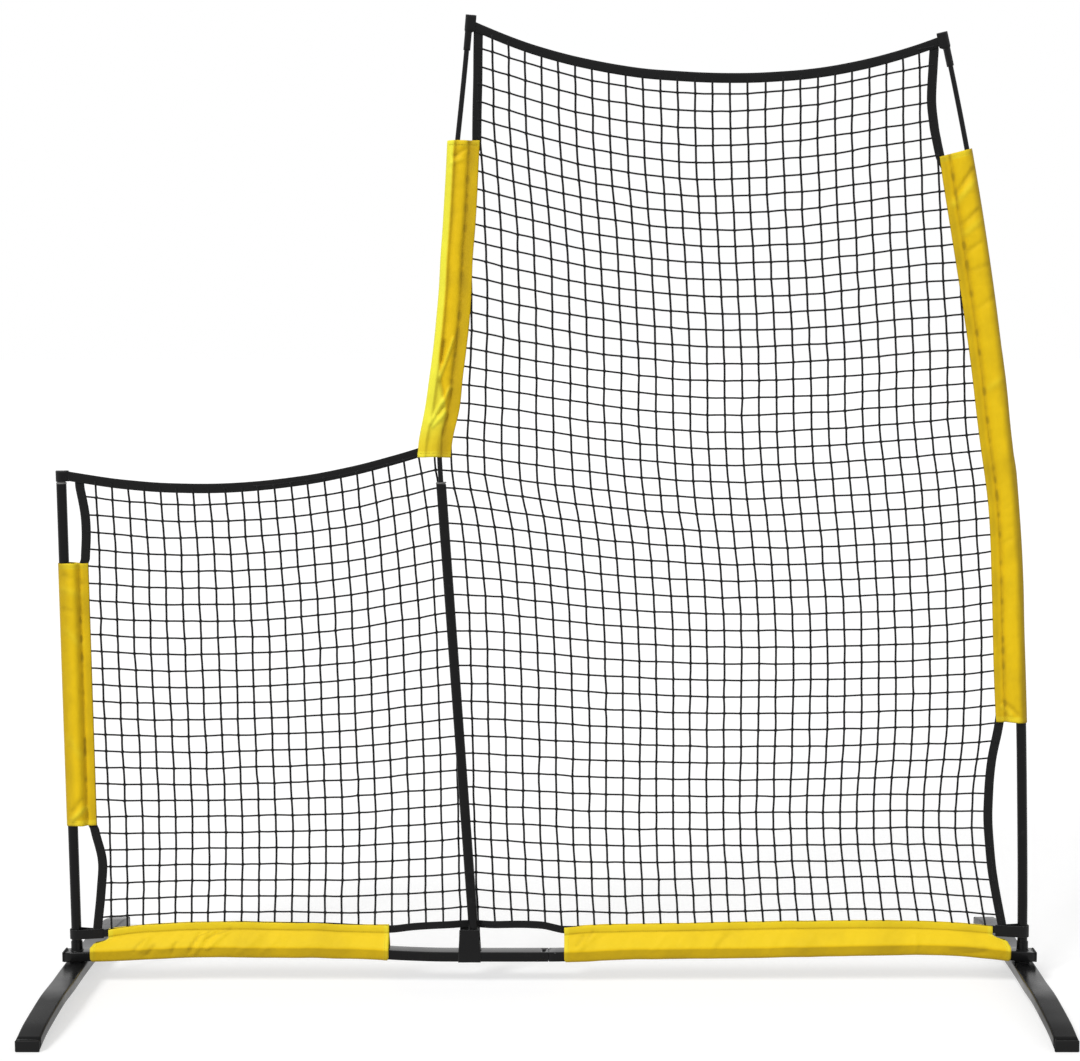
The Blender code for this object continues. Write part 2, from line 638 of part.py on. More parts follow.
def upright_form(line, low, high, radius, rings=1, sides=20, open_low=False, open_high=False):
    form = bmesh.new()
    bmesh.ops.create_cone(form, cap_ends=True, segments=sides, radius1=radius, radius2=radius,
                          depth=high - low)
    bmesh.ops.translate(form, vec=(0, 0, (low + high) / 2), verts=form.verts)
    opened = [face for face in form.faces
              if (open_low and face.normal.z < -0.5) or (open_high and face.normal.z > 0.5)]
    bmesh.ops.delete(form, geom=opened, context="FACES_ONLY")
    if rings > 1:
        upright = [edge for edge in form.edges
                   if abs(edge.verts[0].co.z - edge.verts[1].co.z) > (high - low) / 2]
        bmesh.ops.subdivide_edges(form, edges=upright, cuts=rings - 1, use_grid_fill=True)
    for vert in form.verts:
        vert.co.x += line(vert.co.z)
    return form


def make_pole(side, rings):
    line = LINES[side]
    form = upright_form(line, POLE_FOOT, POLE_TOP, POLE_RADIUS, rings, open_low=True,
                        open_high=True)
    pole = keep("pole_tube_" + side, form, BLACK_STEEL, smooth=True)
    thicken(pole, POLE_WALL, -1)
    inner = POLE_RADIUS + GAP
    form = upright_form(line, TUBE_TOP + GAP, TUBE_TOP + GAP + SOCKET_HEIGHT, inner + SOCKET_WALL,
                        open_low=True, open_high=True)
    socket = keep("pole_socket_" + side, form, BLACK_STEEL, smooth=True)
    thicken(socket, SOCKET_WALL, -1)


def make_rod_socket(side):
    """A plug in the steel's mouth: a blind bore for the rod, a flange on the steel's edge."""
    line = LINES[side]
    outer = POLE_RADIUS - POLE_WALL - ROD_SOCKET_PLAY
    rim = POLE_RADIUS + ROD_SOCKET_RIM
    bore = ROD_RADIUS + ROD_SOCKET_PLAY
    seat = GAP + rim * abs(math.tan(line_tilt(line, POLE_TOP)))
    top = seat + ROD_SOCKET_FLANGE
    low = -ROD_SOCKET_DEPTH
    floor = low + ROD_SOCKET_FLOOR
    profile = [(0, floor), (bore, floor), (bore, top), (rim, top), (rim, seat), (outer, seat),
               (outer, low), (0, low)]
    turned("rod_socket_" + side, profile, GREY_PLASTIC, (line(POLE_TOP), 0, POLE_TOP),
           line_tilt(line, POLE_TOP))


def make_plug():
    outer = POLE_RADIUS - POLE_WALL - ROD_SOCKET_PLAY
    rim = POLE_RADIUS + ROD_SOCKET_RIM
    flange = GAP + ROD_SOCKET_FLANGE
    peg_top = PLUG_TOP - POLE_TOP
    profile = [(0, peg_top), (PLUG_PEG_RADIUS, peg_top), (PLUG_PEG_RADIUS, flange), (rim, flange),
               (rim, GAP), (outer, GAP), (outer, -PLUG_DEPTH), (0, -PLUG_DEPTH)]
    turned("pole_plug_left", profile, GREY_PLASTIC, (left_line(POLE_TOP), 0, POLE_TOP),
           line_tilt(left_line, POLE_TOP))


def make_rod(side, tip_z, pocket_length):
    """A sprung rod, the cap on its tip and the net's pocket over the cap."""
    line = LINES[side]
    cap_top = tip_z - POCKET_WALL - GAP
    cap_radius = ROD_RADIUS + GAP + ROD_TIP_WALL
    form = upright_form(line, ROD_FOOT, cap_top - ROD_TIP_WALL - GAP, ROD_RADIUS, 14, sides=ROD_SIDES)
    keep("rod_" + side, form, BLACK_ROD, smooth=True)
    form = upright_form(line, cap_top - ROD_TIP_LENGTH, cap_top, cap_radius, sides=ROD_SIDES,
                        open_low=True)
    thicken(keep("rod_tip_" + side, form, BLACK_PLASTIC, smooth=True), ROD_TIP_WALL, -1)
    form = upright_form(line, tip_z - pocket_length, tip_z, POCKET_RADIUS, 3, sides=ROD_SIDES,
                        open_low=True)
    thicken(keep("pocket_" + side, form, BLACK_WEBBING, smooth=True), POCKET_WALL, -1)


def make_left_pocket():
    form = upright_form(left_line, LEFT_POCKET_TOP - LEFT_POCKET_LENGTH, LEFT_POCKET_TOP,
                        PLUG_POCKET_RADIUS, open_low=True)
    thicken(keep("pocket_left", form, BLACK_WEBBING, smooth=True), POCKET_WALL, -1)


# Webbing border: flat strips in the net's plane

def make_strip(name, middle, steps, width, across):
    """A strip along a middle line; across is X for an upright strip, Z for a level one."""
    def place(column, row):
        x, z = middle(row / steps)
        shift = (column - 0.5) * width
        if across == "x":
            return on_net(x + shift, z, push_at(z))
        return on_net(x, z + shift, push_at(z))

    strip = keep(name, sheet_form(1, steps, place), BLACK_WEBBING)
    thicken(strip, WEB_THICKNESS, 0)


def make_webbing():
    half = WEB_WIDTH / 2 + GAP
    under = BOTTOM_WEB_WIDTH / 2 + GAP
    side_half = SIDE_WEB_WIDTH / 2

    def left(share):
        x = left_border(POLE_TOP)
        low = bottom_border(left_border(TUBE_TOP) + side_half) + under + GAP
        z = mix(low, edge_height(lower_top, x + side_half) - half - CLOTH, share)
        return left_border(z), z

    def right(share):
        x = right_border(RIGHT_TIP_Z)
        low = bottom_border(right_border(TUBE_TOP) - side_half) + under + GAP
        z = mix(low, edge_height(upper_top, x - side_half) - half - CLOTH, share)
        return right_border(z), z

    def mid(share):
        x = UPPER_LEFT_X
        z = mix(MID_BORDER_LOW, edge_height(upper_top, x + side_half) - half - CLOTH, share)
        return mid_border(z), z

    def bottom(share):
        x = mix(-HALF_SPAN + POLE_RADIUS + 3 * CLOTH, HALF_SPAN - POLE_RADIUS - 3 * CLOTH, share)
        return x, bottom_border(x)

    make_strip("webbing_left_side", left, 16, SIDE_WEB_WIDTH, "x")
    make_strip("webbing_right_side", right, 26, SIDE_WEB_WIDTH, "x")
    make_strip("webbing_mid_side", mid, 14, SIDE_WEB_WIDTH, "x")
    make_strip("webbing_bottom", bottom, 60, BOTTOM_WEB_WIDTH, "z")
    make_strip("webbing_upper_top", upper_top, 20, WEB_WIDTH, "z")
    make_strip("webbing_lower_top", lower_top, 16, WEB_WIDTH, "z")


# Net: two flat panels that meet behind the middle upright

def make_net_panel(name, left_edge, right_edge, bottom_edge, top_edge, push, columns, rows):
    form = bmesh.new()
    bmesh.ops.create_grid(form, x_segments=columns, y_segments=rows, size=1)
    for edge in [edge for edge in form.edges if edge.is_boundary]:
        near = edge.verts[0]
        for pieces in range(EDGE_CUTS + 1, 1, -1):
            near = bmesh.utils.edge_split(edge, near, 1 / pieces)[1]
    for vert in form.verts:
        across, up = (vert.co.x + 1) / 2, (vert.co.y + 1) / 2
        x = 0
        z = mix(bottom_edge(0), top_edge(0), up)
        for _ in range(5):
            x = mix(left_edge(z), right_edge(z), across)
            z = mix(bottom_edge(x), top_edge(x), up)
        vert.co = on_net(x, z, push(z))
    net = keep(name, form, BLACK_TWINE)
    wire = net.modifiers.new("strands", "WIREFRAME")
    wire.thickness = STRAND
    wire.offset = 0
    wire.use_replace = True
    wire.use_boundary = True
    wire.use_even_offset = True


def make_net():
    cell = MESH * MESHES_PER_CELL
    inside = SIDE_WEB_WIDTH / 2 + CLOTH + STRAND / 2 + NET_CLEAR
    under = WEB_WIDTH / 2 + STRAND / 2 + GAP
    above = BOTTOM_WEB_WIDTH / 2 + CLOTH + STRAND / 2 + NET_CLEAR
    seam_top = MID_BORDER_LOW

    def seam(z):
        return mid_line(min(z, seam_top))

    def right_left_edge(z):
        joined = smooth_share(z, POLE_TOP, seam_top)
        return mix(seam(z) + SEAM, mid_border(max(z, seam_top)) + inside, joined)

    def low_edge(x):
        return bottom_border(x) + above

    width = MID_POLE_X + HALF_SPAN
    tall = POLE_TOP - TUBE_TOP
    make_net_panel("net_left", lambda z: left_border(z) + inside, lambda z: seam(z) - SEAM,
                   low_edge, lambda x: edge_height(lower_top, x) - under, lambda z: POLE_PUSH,
                   round(width / cell), round(tall / cell))
    width = HALF_SPAN - MID_POLE_X
    tall = RIGHT_TIP_Z - TUBE_TOP
    make_net_panel("net_right", right_left_edge, lambda z: right_border(z) - inside,
                   low_edge, lambda x: edge_height(upper_top, x) - under, push_at,
                   round(width / cell), round(tall / cell))


# Sleeves and straps

def ply_points(radius, reach, arc_steps):
    """One ply of a wrap, from its closed edge to the far side of what it goes round."""
    distance = math.hypot(reach, PLY_GAP)
    start = math.atan2(PLY_GAP, reach) + math.acos(radius / distance)
    points = [(reach, PLY_GAP)]
    for step in range(arc_steps + 1):
        angle = mix(start, math.pi, step / arc_steps)
        points.append((radius * math.cos(angle), radius * math.sin(angle)))
    return points


def wrap_points(radius, reach, arc_steps=6):
    ply = ply_points(radius, reach, arc_steps)
    return ply + [(x, -y) for x, y in reversed(ply[:-1])]


def sleeve_radius(z):
    """Inside radius round the steel, narrowing to the rod above its socket."""
    wide = POLE_RADIUS + ROD_SOCKET_RIM + GAP
    narrow = ROD_RADIUS + 3 * GAP
    return mix(wide, narrow, smooth_share(z, POLE_TOP + TAPER_START, POLE_TOP + TAPER_END))


def right_reach(z):
    return mix(SIDE_REACH, ROD_REACH, smooth_share(z, POLE_TOP - 3 * PUSH_FADE, POLE_TOP))


def make_side_wrap(name, line, sign, low, high, reach, radius, cloth, rows, finish, slant=0):
    """A wrap round an upright whose plies close on the net's side; sign is towards the net."""
    count = len(wrap_points(radius(low), reach(low))) - 1

    def place(column, row):
        z = mix(low, high, row / rows)
        along, y = wrap_points(radius(z), reach(z))[column]
        z += slant * (0.5 - along / reach(z)) * row / rows
        return Vector((line(z) + sign * along, y, z))

    wrap = keep(name, sheet_form(count, rows, place), finish, smooth=True)
    thicken(wrap, cloth, -1 if sign > 0 else 1)
    wrap.modifiers["wall"].offset = 1 if sign > 0 else -1
    return wrap


def make_mid_sleeve():
    """The middle sleeve: a flat tube of cloth that the rod crosses from right to left."""
    rows = 14
    arc_steps = 4

    def section(z):
        rod = mid_line(z)
        left = mid_sleeve_left(z)
        right = left + SLEEVE_WIDTH - CLOTH
        radius = MID_SLEEVE_RADIUS
        reach_right, reach_left = right - rod, rod - left
        start = math.atan2(PLY_GAP, reach_right) + math.acos(radius
                                                             / math.hypot(reach_right, PLY_GAP))
        fold = max(reach_left, radius * 1.02)
        stop = math.pi - math.atan2(PLY_GAP, fold) - math.acos(radius / math.hypot(fold, PLY_GAP))
        ply = [(right, PLY_GAP)]
        for step in range(arc_steps + 1):
            angle = mix(start, stop, step / arc_steps)
            ply.append((rod + radius * math.cos(angle), radius * math.sin(angle)))
        ply.append((rod - fold, PLY_GAP))
        return ply + [(x, -y) for x, y in reversed(ply)]

    def place(column, row):
        z = mix(MID_SLEEVE_LOW, MID_SLEEVE_HIGH, row / rows)
        x, y = section(z)[column]
        return Vector((x, y, z))

    count = len(section(MID_SLEEVE_LOW)) - 1
    sleeve = keep("sleeve_mid", sheet_form(count, rows, place), YELLOW_CLOTH, smooth=True)
    thicken(sleeve, CLOTH, 1)


def base_section(top, front, back):
    """A wrap round the base tube: each point has its Y, its Z and whether it is drawn in."""
    half = TUBE_DEPTH / 2 + GAP
    low = TUBE_BOTTOM - GAP
    high = TUBE_TOP + GAP
    corner = TUBE_ROUNDING / 2
    band = top - BOTTOM_WEB_WIDTH - CLOTH
    shoulder = (high + band) / 2
    return [(-front, top, 1), (-front, band, 1), (-(half + front) / 2, shoulder, 1),
            (-half, high, 0), (-half, low + corner, 0), (-half + corner, low, 0), (0, low, 0),
            (half - corner, low, 0), (half, low + corner, 0), (half, high, 0),
            ((half + back) / 2, shoulder, 1), (back, band, 1), (back, top, 1)]


def make_base_wrap(name, ends, set_back, top, plies, cloth, columns, finish):
    """A wrap along the base tube; set_back draws in the flange's two ends."""
    count = len(base_section(TAB_TOP, *plies)) - 1

    def place(column, row):
        share = row / columns
        x = mix(ends[0], ends[1], share)
        y, z, drawn = base_section(top(x), *plies)[column]
        return Vector((x + drawn * mix(set_back[0], -set_back[1], share), y, z))

    wrap = keep(name, sheet_form(count, columns, place), finish, smooth=True)
    thicken(wrap, cloth, 1)


def make_sleeves():
    side_radius = POLE_RADIUS + GAP
    make_side_wrap("sleeve_left", left_line, 1, LEFT_SLEEVE_LOW, LEFT_SLEEVE_HIGH,
                   lambda z: SIDE_REACH, lambda z: side_radius, CLOTH, 5, YELLOW_CLOTH)
    make_side_wrap("sleeve_right", right_line, -1, RIGHT_SLEEVE_LOW, RIGHT_SLEEVE_HIGH,
                   right_reach, sleeve_radius, CLOTH, 18, YELLOW_CLOTH, SLEEVE_END_SLANT)
    make_mid_sleeve()
    closed = (PLY_GAP, PLY_GAP)

    def flange_top(x):
        return bottom_border(x) + BOTTOM_WEB_WIDTH / 2 + CLOTH

    make_base_wrap("sleeve_base_left", LEFT_BASE_SLEEVE, (BASE_SLEEVE_SET_BACK, 0), flange_top,
                   closed, CLOTH, 11, YELLOW_CLOTH)
    make_base_wrap("sleeve_base_right", RIGHT_BASE_SLEEVE, (0, BASE_SLEEVE_SET_BACK), flange_top,
                   closed, CLOTH, 14, YELLOW_CLOTH)


def make_straps():
    for side, sign in (("left", 1), ("right", -1)):
        low = STRAP_LOW[side]
        make_side_wrap("corner_strap_" + side, LINES[side], sign, low, low + STRAP_WIDTH,
                       lambda z: STRAP_REACH, lambda z: POLE_RADIUS + GAP, STRAP_CLOTH, 1,
                       BLACK_WEBBING)
    narrow = (TAB_WIDTH - TAB_TOP_WIDTH) / 2
    clear = POLE_RADIUS + 3 * CLOTH
    make_base_wrap("centre_tab", (TAB_X - TAB_WIDTH / 2, TAB_X + TAB_WIDTH / 2),
                   (narrow, narrow), lambda x: TAB_TOP,
                   (clear, POLE_PUSH + PLY_GAP), STRAP_CLOTH, 3, BLACK_WEBBING)


def build():
    make_base_tubes()
    make_coupler()
    make_snap_button()
    make_base_end_caps()
    for side, sign in (("left", -1), ("right", 1)):
        make_foot(side, sign)
        make_foot_bolt(side, sign)
    for side, rings in (("left", 1), ("mid", 1), ("right", 10)):
        make_pole(side, rings)
    make_plug()
    make_rod_socket("mid")
    make_rod_socket("right")
    make_rod("mid", MID_TIP_Z, MID_POCKET_LENGTH)
    make_rod("right", RIGHT_TIP_Z, RIGHT_POCKET_LENGTH)
    make_left_pocket()
    make_webbing()
    make_net()
    make_sleeves()
    make_straps()


build()
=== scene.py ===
import math

import bmesh
import bpy
from mathutils import Matrix, Vector, noise


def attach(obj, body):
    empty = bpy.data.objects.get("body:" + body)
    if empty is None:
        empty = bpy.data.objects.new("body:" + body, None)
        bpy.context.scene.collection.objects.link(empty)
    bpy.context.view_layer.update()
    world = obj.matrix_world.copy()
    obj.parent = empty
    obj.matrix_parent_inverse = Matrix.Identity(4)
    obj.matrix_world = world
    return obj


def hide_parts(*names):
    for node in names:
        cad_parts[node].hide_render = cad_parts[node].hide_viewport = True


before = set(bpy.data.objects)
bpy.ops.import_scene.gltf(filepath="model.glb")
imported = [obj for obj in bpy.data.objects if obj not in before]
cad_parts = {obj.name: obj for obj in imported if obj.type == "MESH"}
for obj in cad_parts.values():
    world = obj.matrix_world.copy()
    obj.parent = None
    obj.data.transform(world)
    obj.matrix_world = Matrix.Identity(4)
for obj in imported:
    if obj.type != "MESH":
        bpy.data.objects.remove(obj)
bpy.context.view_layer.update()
scene = bpy.context.scene
scene.view_settings.view_transform = "Standard"
print("frame loaded")


# Camera, light and floor

cameraSet = {"place": (0.0571, -4.6, 1.4994), "pitch": -5.94, "lens": 70.37, "sensor": 36.0,
             "shift": (-0.0326, 0.0)}
lightSet = {"world": 0.46,
            "suns": (("keySun", (-34, 44), 1.95, 16), ("fillSun", (55, 20), 0.20, 70))}
floorSet = {"size": 60.0, "colour": 0.52, "glow": 0.56}


def makeCamera():
    data = bpy.data.cameras.new("camera")
    data.lens, data.sensor_width = cameraSet["lens"], cameraSet["sensor"]
    data.shift_x, data.shift_y = cameraSet["shift"]
    data.clip_start, data.clip_end = 0.1, 200
    camera = bpy.data.objects.new("camera", data)
    camera.location = cameraSet["place"]
    camera.rotation_euler = (math.radians(90 + cameraSet["pitch"]), 0, 0)
    scene.collection.objects.link(camera)
    scene.camera = camera


def addSun(name, place, strength, size):
    data = bpy.data.lights.new(name, "SUN")
    data.energy, data.angle = strength, math.radians(size)
    sun = bpy.data.objects.new(name, data)
    side, height = math.radians(place[0]), math.radians(place[1])
    fromWay = Vector((math.sin(side) * math.cos(height), -math.cos(side) * math.cos(height),
                      math.sin(height)))
    sun.rotation_euler = fromWay.to_track_quat("Z", "Y").to_euler()
    scene.collection.objects.link(sun)


def addNode(nodes, kind, values=None, **settings):
    made = nodes.new("ShaderNode" + kind)
    for key, value in settings.items():
        setattr(made, key, value)
    for key, value in (values or {}).items():
        made.inputs[key].default_value = value
    return made


def makeWorld():
    world = bpy.data.worlds.new("studio")
    scene.world = world
    world.use_nodes = True
    nodes, links = world.node_tree.nodes, world.node_tree.links
    soft = nodes["Background"]
    soft.inputs["Color"].default_value = (1, 1, 1, 1)
    soft.inputs["Strength"].default_value = lightSet["world"]
    white = addNode(nodes, "Background", {"Color": (1, 1, 1, 1), "Strength": 1.0})
    path = addNode(nodes, "LightPath")
    first = addNode(nodes, "Math", operation="MAXIMUM")
    both = addNode(nodes, "Math", operation="MAXIMUM")
    blend = addNode(nodes, "MixShader")
    links.new(path.outputs["Is Camera Ray"], first.inputs[0])
    links.new(path.outputs["Is Glossy Ray"], first.inputs[1])
    links.new(first.outputs[0], both.inputs[0])
    links.new(path.outputs["Is Transmission Ray"], both.inputs[1])
    links.new(both.outputs[0], blend.inputs["Fac"])
    links.new(soft.outputs[0], blend.inputs[1])
    links.new(white.outputs[0], blend.inputs[2])
    links.new(blend.outputs[0], nodes["World Output"].inputs["Surface"])


def makeFloor():
    form = bmesh.new()
    bmesh.ops.create_grid(form, x_segments=1, y_segments=1, size=floorSet["size"])
    mesh = bpy.data.meshes.new("floor")
    form.to_mesh(mesh)
    form.free()
    floor = bpy.data.objects.new("floor", mesh)
    scene.collection.objects.link(floor)
    material = bpy.data.materials.new("paleFloor")
    material.use_nodes = True
    nodes, links = material.node_tree.nodes, material.node_tree.links
    shader = nodes["Principled BSDF"]
    shader.inputs["Base Color"].default_value = (*[floorSet["colour"]] * 3, 1)
    shader.inputs["Roughness"].default_value = 0.9
    glow = addNode(nodes, "Emission", {"Color": (1, 1, 1, 1), "Strength": floorSet["glow"]})
    path = addNode(nodes, "LightPath")
    either = addNode(nodes, "Math", operation="MAXIMUM")
    black = addNode(nodes, "Emission", {"Color": (0, 0, 0, 1), "Strength": 0.0})
    pick = addNode(nodes, "MixShader")
    total = addNode(nodes, "AddShader")
    links.new(path.outputs["Is Camera Ray"], either.inputs[0])
    links.new(path.outputs["Is Glossy Ray"], either.inputs[1])
    links.new(either.outputs[0], pick.inputs["Fac"])
    links.new(black.outputs[0], pick.inputs[1])
    links.new(glow.outputs[0], pick.inputs[2])
    links.new(shader.outputs[0], total.inputs[0])
    links.new(pick.outputs[0], total.inputs[1])
    links.new(total.outputs[0], nodes["Material Output"].inputs["Surface"])
    floor.data.materials.append(material)


makeCamera()
makeWorld()
for sun in lightSet["suns"]:
    addSun(*sun)
makeFloor()
print("camera, lights and floor made")


# Finishes

def newFinish(name, colour, roughness, metallic=0.0, shine=0.5):
    material = bpy.data.materials.new(name)
    material.use_nodes = True
    nodes, links = material.node_tree.nodes, material.node_tree.links
    shader = nodes["Principled BSDF"]
    shader.inputs["Base Color"].default_value = (*colour, 1)
    shader.inputs["Roughness"].default_value = roughness
    shader.inputs["Metallic"].default_value = metallic
    shader.inputs["Specular IOR Level"].default_value = shine
    return material, nodes, links, shader


def addBump(nodes, links, shader, height, strength, distance, before=None):
    bump = addNode(nodes, "Bump", {"Strength": strength, "Distance": distance})
    links.new(height, bump.inputs["Height"])
    if before:
        links.new(before.outputs["Normal"], bump.inputs["Normal"])
    links.new(bump.outputs["Normal"], shader.inputs["Normal"])
    return bump


def spread(nodes, links, source, low, high, fromLow=0.0, fromHigh=1.0):
    ranged = addNode(nodes, "MapRange", {"From Min": fromLow, "From Max": fromHigh,
                                         "To Min": low, "To Max": high})
    links.new(source, ranged.inputs["Value"])
    return ranged.outputs["Result"]


def blendColours(nodes, links, factor, first, second):
    blend = addNode(nodes, "Mix", data_type="RGBA")
    links.new(factor, blend.inputs[0])
    blend.inputs[6].default_value = (*first, 1)
    blend.inputs[7].default_value = (*second, 1)
    return blend.outputs[2]


def makeCoatedSteel(name, dark, wearAndShade, roughness, shine):
    material, nodes, links, shader = newFinish(name, dark, roughness, shine=shine)
    place = addNode(nodes, "TexCoord").outputs["Object"]
    peel = addNode(nodes, "TexNoise", {"Scale": 700.0, "Detail": 2.0})
    scuff = addNode(nodes, "TexNoise", {"Scale": 38.0, "Detail": 8.0, "Roughness": 0.7})
    wide = addNode(nodes, "TexNoise", {"Scale": 9.0, "Detail": 3.0})
    for texture in (peel, scuff, wide):
        links.new(place, texture.inputs["Vector"])
    mask = spread(nodes, links, scuff.outputs["Fac"], 0, 1, 0.60, 0.74)
    links.new(blendColours(nodes, links, mask, dark, wearAndShade), shader.inputs["Base Color"])
    links.new(spread(nodes, links, wide.outputs["Fac"], roughness - 0.07, roughness + 0.09, 0.3,
                     0.7), shader.inputs["Roughness"])
    addBump(nodes, links, shader, peel.outputs["Fac"], 0.12, 0.0004)
    return material


# More shine on the faces that look up than on the others
def shineOnTop(material, shines):
    nodes, links = material.node_tree.nodes, material.node_tree.links
    split = addNode(nodes, "SeparateXYZ")
    links.new(addNode(nodes, "TexCoord").outputs["Normal"], split.inputs["Vector"])
    links.new(spread(nodes, links, split.outputs["Z"], shines[0], shines[1], 0.55, 0.95),
              nodes["Principled BSDF"].inputs["Specular IOR Level"])


# Coated steel whose shine falls from near the middle to beyond a reach along Y, with a cloudy edge
def makeFootSteel(name, dark, wearAndShade, roughness, shines, reach, clouds=22.0, drift=0.05):
    material = makeCoatedSteel(name, dark, wearAndShade, roughness, shines[0])
    nodes, links = material.node_tree.nodes, material.node_tree.links
    shader = nodes["Principled BSDF"]
    place = addNode(nodes, "TexCoord").outputs["Object"]
    cloudy = addNode(nodes, "TexNoise", {"Scale": clouds, "Detail": 3.0})
    links.new(place, cloudy.inputs["Vector"])
    split = addNode(nodes, "SeparateXYZ")
    links.new(place, split.inputs["Vector"])
    away = addNode(nodes, "Math", operation="ABSOLUTE")
    links.new(split.outputs["Y"], away.inputs[0])
    shifted = addNode(nodes, "Math", operation="MULTIPLY_ADD")
    shifted.inputs[1].default_value = drift
    links.new(cloudy.outputs["Fac"], shifted.inputs[0])
    links.new(away.outputs[0], shifted.inputs[2])
    links.new(spread(nodes, links, shifted.outputs[0], shines[0], shines[1],
                     reach[0] + drift / 2, reach[1] + drift / 2),
              shader.inputs["Specular IOR Level"])
    return material


def makeMoulded(name, dark, light, roughness, shine, grain=1500.0):
    material, nodes, links, shader = newFinish(name, dark, roughness, shine=shine)
    place = addNode(nodes, "TexCoord").outputs["Object"]
    pebble = addNode(nodes, "TexVoronoi", {"Scale": grain})
    wide = addNode(nodes, "TexNoise", {"Scale": 24.0, "Detail": 4.0})
    for texture in (pebble, wide):
        links.new(place, texture.inputs["Vector"])
    links.new(blendColours(nodes, links, wide.outputs["Fac"], dark, light),
              shader.inputs["Base Color"])
    links.new(spread(nodes, links, wide.outputs["Fac"], roughness - 0.08, roughness + 0.08),
              shader.inputs["Roughness"])
    addBump(nodes, links, shader, pebble.outputs["Distance"], 0.25, 0.0003)
    return material


def makeFibreRod(name, dark, light, roughness):
    material, nodes, links, shader = newFinish(name, dark, roughness, shine=0.15)
    place = addNode(nodes, "TexCoord").outputs["Object"]
    lengthwise = addNode(nodes, "Mapping")
    lengthwise.inputs["Scale"].default_value = (1, 1, 0.02)
    links.new(place, lengthwise.inputs["Vector"])
    fibres = addNode(nodes, "TexNoise", {"Scale": 1400.0, "Detail": 3.0})
    links.new(lengthwise.outputs["Vector"], fibres.inputs["Vector"])
    links.new(blendColours(nodes, links, fibres.outputs["Fac"], dark, light),
              shader.inputs["Base Color"])
    addBump(nodes, links, shader, fibres.outputs["Fac"], 0.2, 0.0003)
    return material


def makeBareMetal(name, colour, stain, roughness, scale):
    material, nodes, links, shader = newFinish(name, colour, roughness, 1.0)
    place = addNode(nodes, "TexCoord").outputs["Object"]
    spangle = addNode(nodes, "TexNoise", {"Scale": scale, "Detail": 6.0, "Roughness": 0.65})
    links.new(place, spangle.inputs["Vector"])
    links.new(blendColours(nodes, links, spangle.outputs["Fac"], colour, stain),
              shader.inputs["Base Color"])
    links.new(spread(nodes, links, spangle.outputs["Fac"], roughness - 0.1, roughness + 0.15),
              shader.inputs["Roughness"])
    addBump(nodes, links, shader, spangle.outputs["Fac"], 0.1, 0.0002)
    return material


def makeCloth(name, bright, lemon, olive, pitch, roughness):
    material, nodes, links, shader = newFinish(name, bright, roughness, shine=0.16)
    uv = addNode(nodes, "UVMap").outputs["UV"]
    place = addNode(nodes, "TexCoord").outputs["Object"]
    waves = []
    for direction in ("X", "Y"):
        wave = addNode(nodes, "TexWave", {"Scale": math.tau / 20 / pitch, "Distortion": 0.6,
                                          "Detail": 1.0}, bands_direction=direction)
        links.new(uv, wave.inputs["Vector"])
        waves.append(wave.outputs["Fac"])
    weave = addNode(nodes, "Math", operation="MULTIPLY")
    links.new(waves[0], weave.inputs[0])
    links.new(waves[1], weave.inputs[1])
    rumple = addNode(nodes, "TexNoise", {"Scale": 60.0, "Detail": 5.0, "Roughness": 0.6})
    shade = addNode(nodes, "TexNoise", {"Scale": 11.0, "Detail": 5.0})
    for texture in (rumple, shade):
        links.new(place, texture.inputs["Vector"])
    # The tint attribute paints light and shade into the cloth: red moves the colour toward lemon as
    # painted light and lightens the hems, green moves it toward olive as painted shade, and random
    # tone patches are added to green
    tintChannels = addNode(nodes, "SeparateColor")
    links.new(addNode(nodes, "Attribute", attribute_name="tint").outputs["Color"],
              tintChannels.inputs["Color"])
    patch = spread(nodes, links, shade.outputs["Fac"], -0.12, 0.22, 0.3, 0.75)
    wearAndShade = addNode(nodes, "Math", operation="ADD", use_clamp=True)
    links.new(tintChannels.outputs["Green"], wearAndShade.inputs[0])
    links.new(patch, wearAndShade.inputs[1])
    paintedLightBlend = addNode(nodes, "Mix", data_type="RGBA")
    links.new(tintChannels.outputs["Red"], paintedLightBlend.inputs[0])
    paintedLightBlend.inputs[6].default_value = (*bright, 1)
    paintedLightBlend.inputs[7].default_value = (*lemon, 1)
    shadeAndBlotchBlend = addNode(nodes, "Mix", data_type="RGBA")
    links.new(wearAndShade.outputs[0], shadeAndBlotchBlend.inputs[0])
    links.new(paintedLightBlend.outputs[2], shadeAndBlotchBlend.inputs[6])
    shadeAndBlotchBlend.inputs[7].default_value = (*olive, 1)
    links.new(shadeAndBlotchBlend.outputs[2], shader.inputs["Base Color"])
    links.new(spread(nodes, links, rumple.outputs["Fac"], roughness - 0.06, roughness + 0.1),
              shader.inputs["Roughness"])
    first = addBump(nodes, links, shader, rumple.outputs["Fac"], 0.4, 0.0022)
    addBump(nodes, links, shader, weave.outputs[0], 0.35, 0.00025, first)
    shader.inputs["Sheen Weight"].default_value = 0.08
    shader.inputs["Sheen Roughness"].default_value = 0.5
    return material


def makeThread(name, colour, pitch):
    material, nodes, links, shader = newFinish(name, colour, 0.7, shine=0.2)
    place = addNode(nodes, "TexCoord").outputs["Object"]
    twist = addNode(nodes, "TexWave", {"Scale": math.tau / 20 / pitch}, bands_direction="DIAGONAL")
    links.new(place, twist.inputs["Vector"])
    links.new(blendColours(nodes, links, twist.outputs["Fac"], colour,
                           tuple(value * 0.7 for value in colour)), shader.inputs["Base Color"])
    addBump(nodes, links, shader, twist.outputs["Fac"], 0.4, 0.0001)
    return material


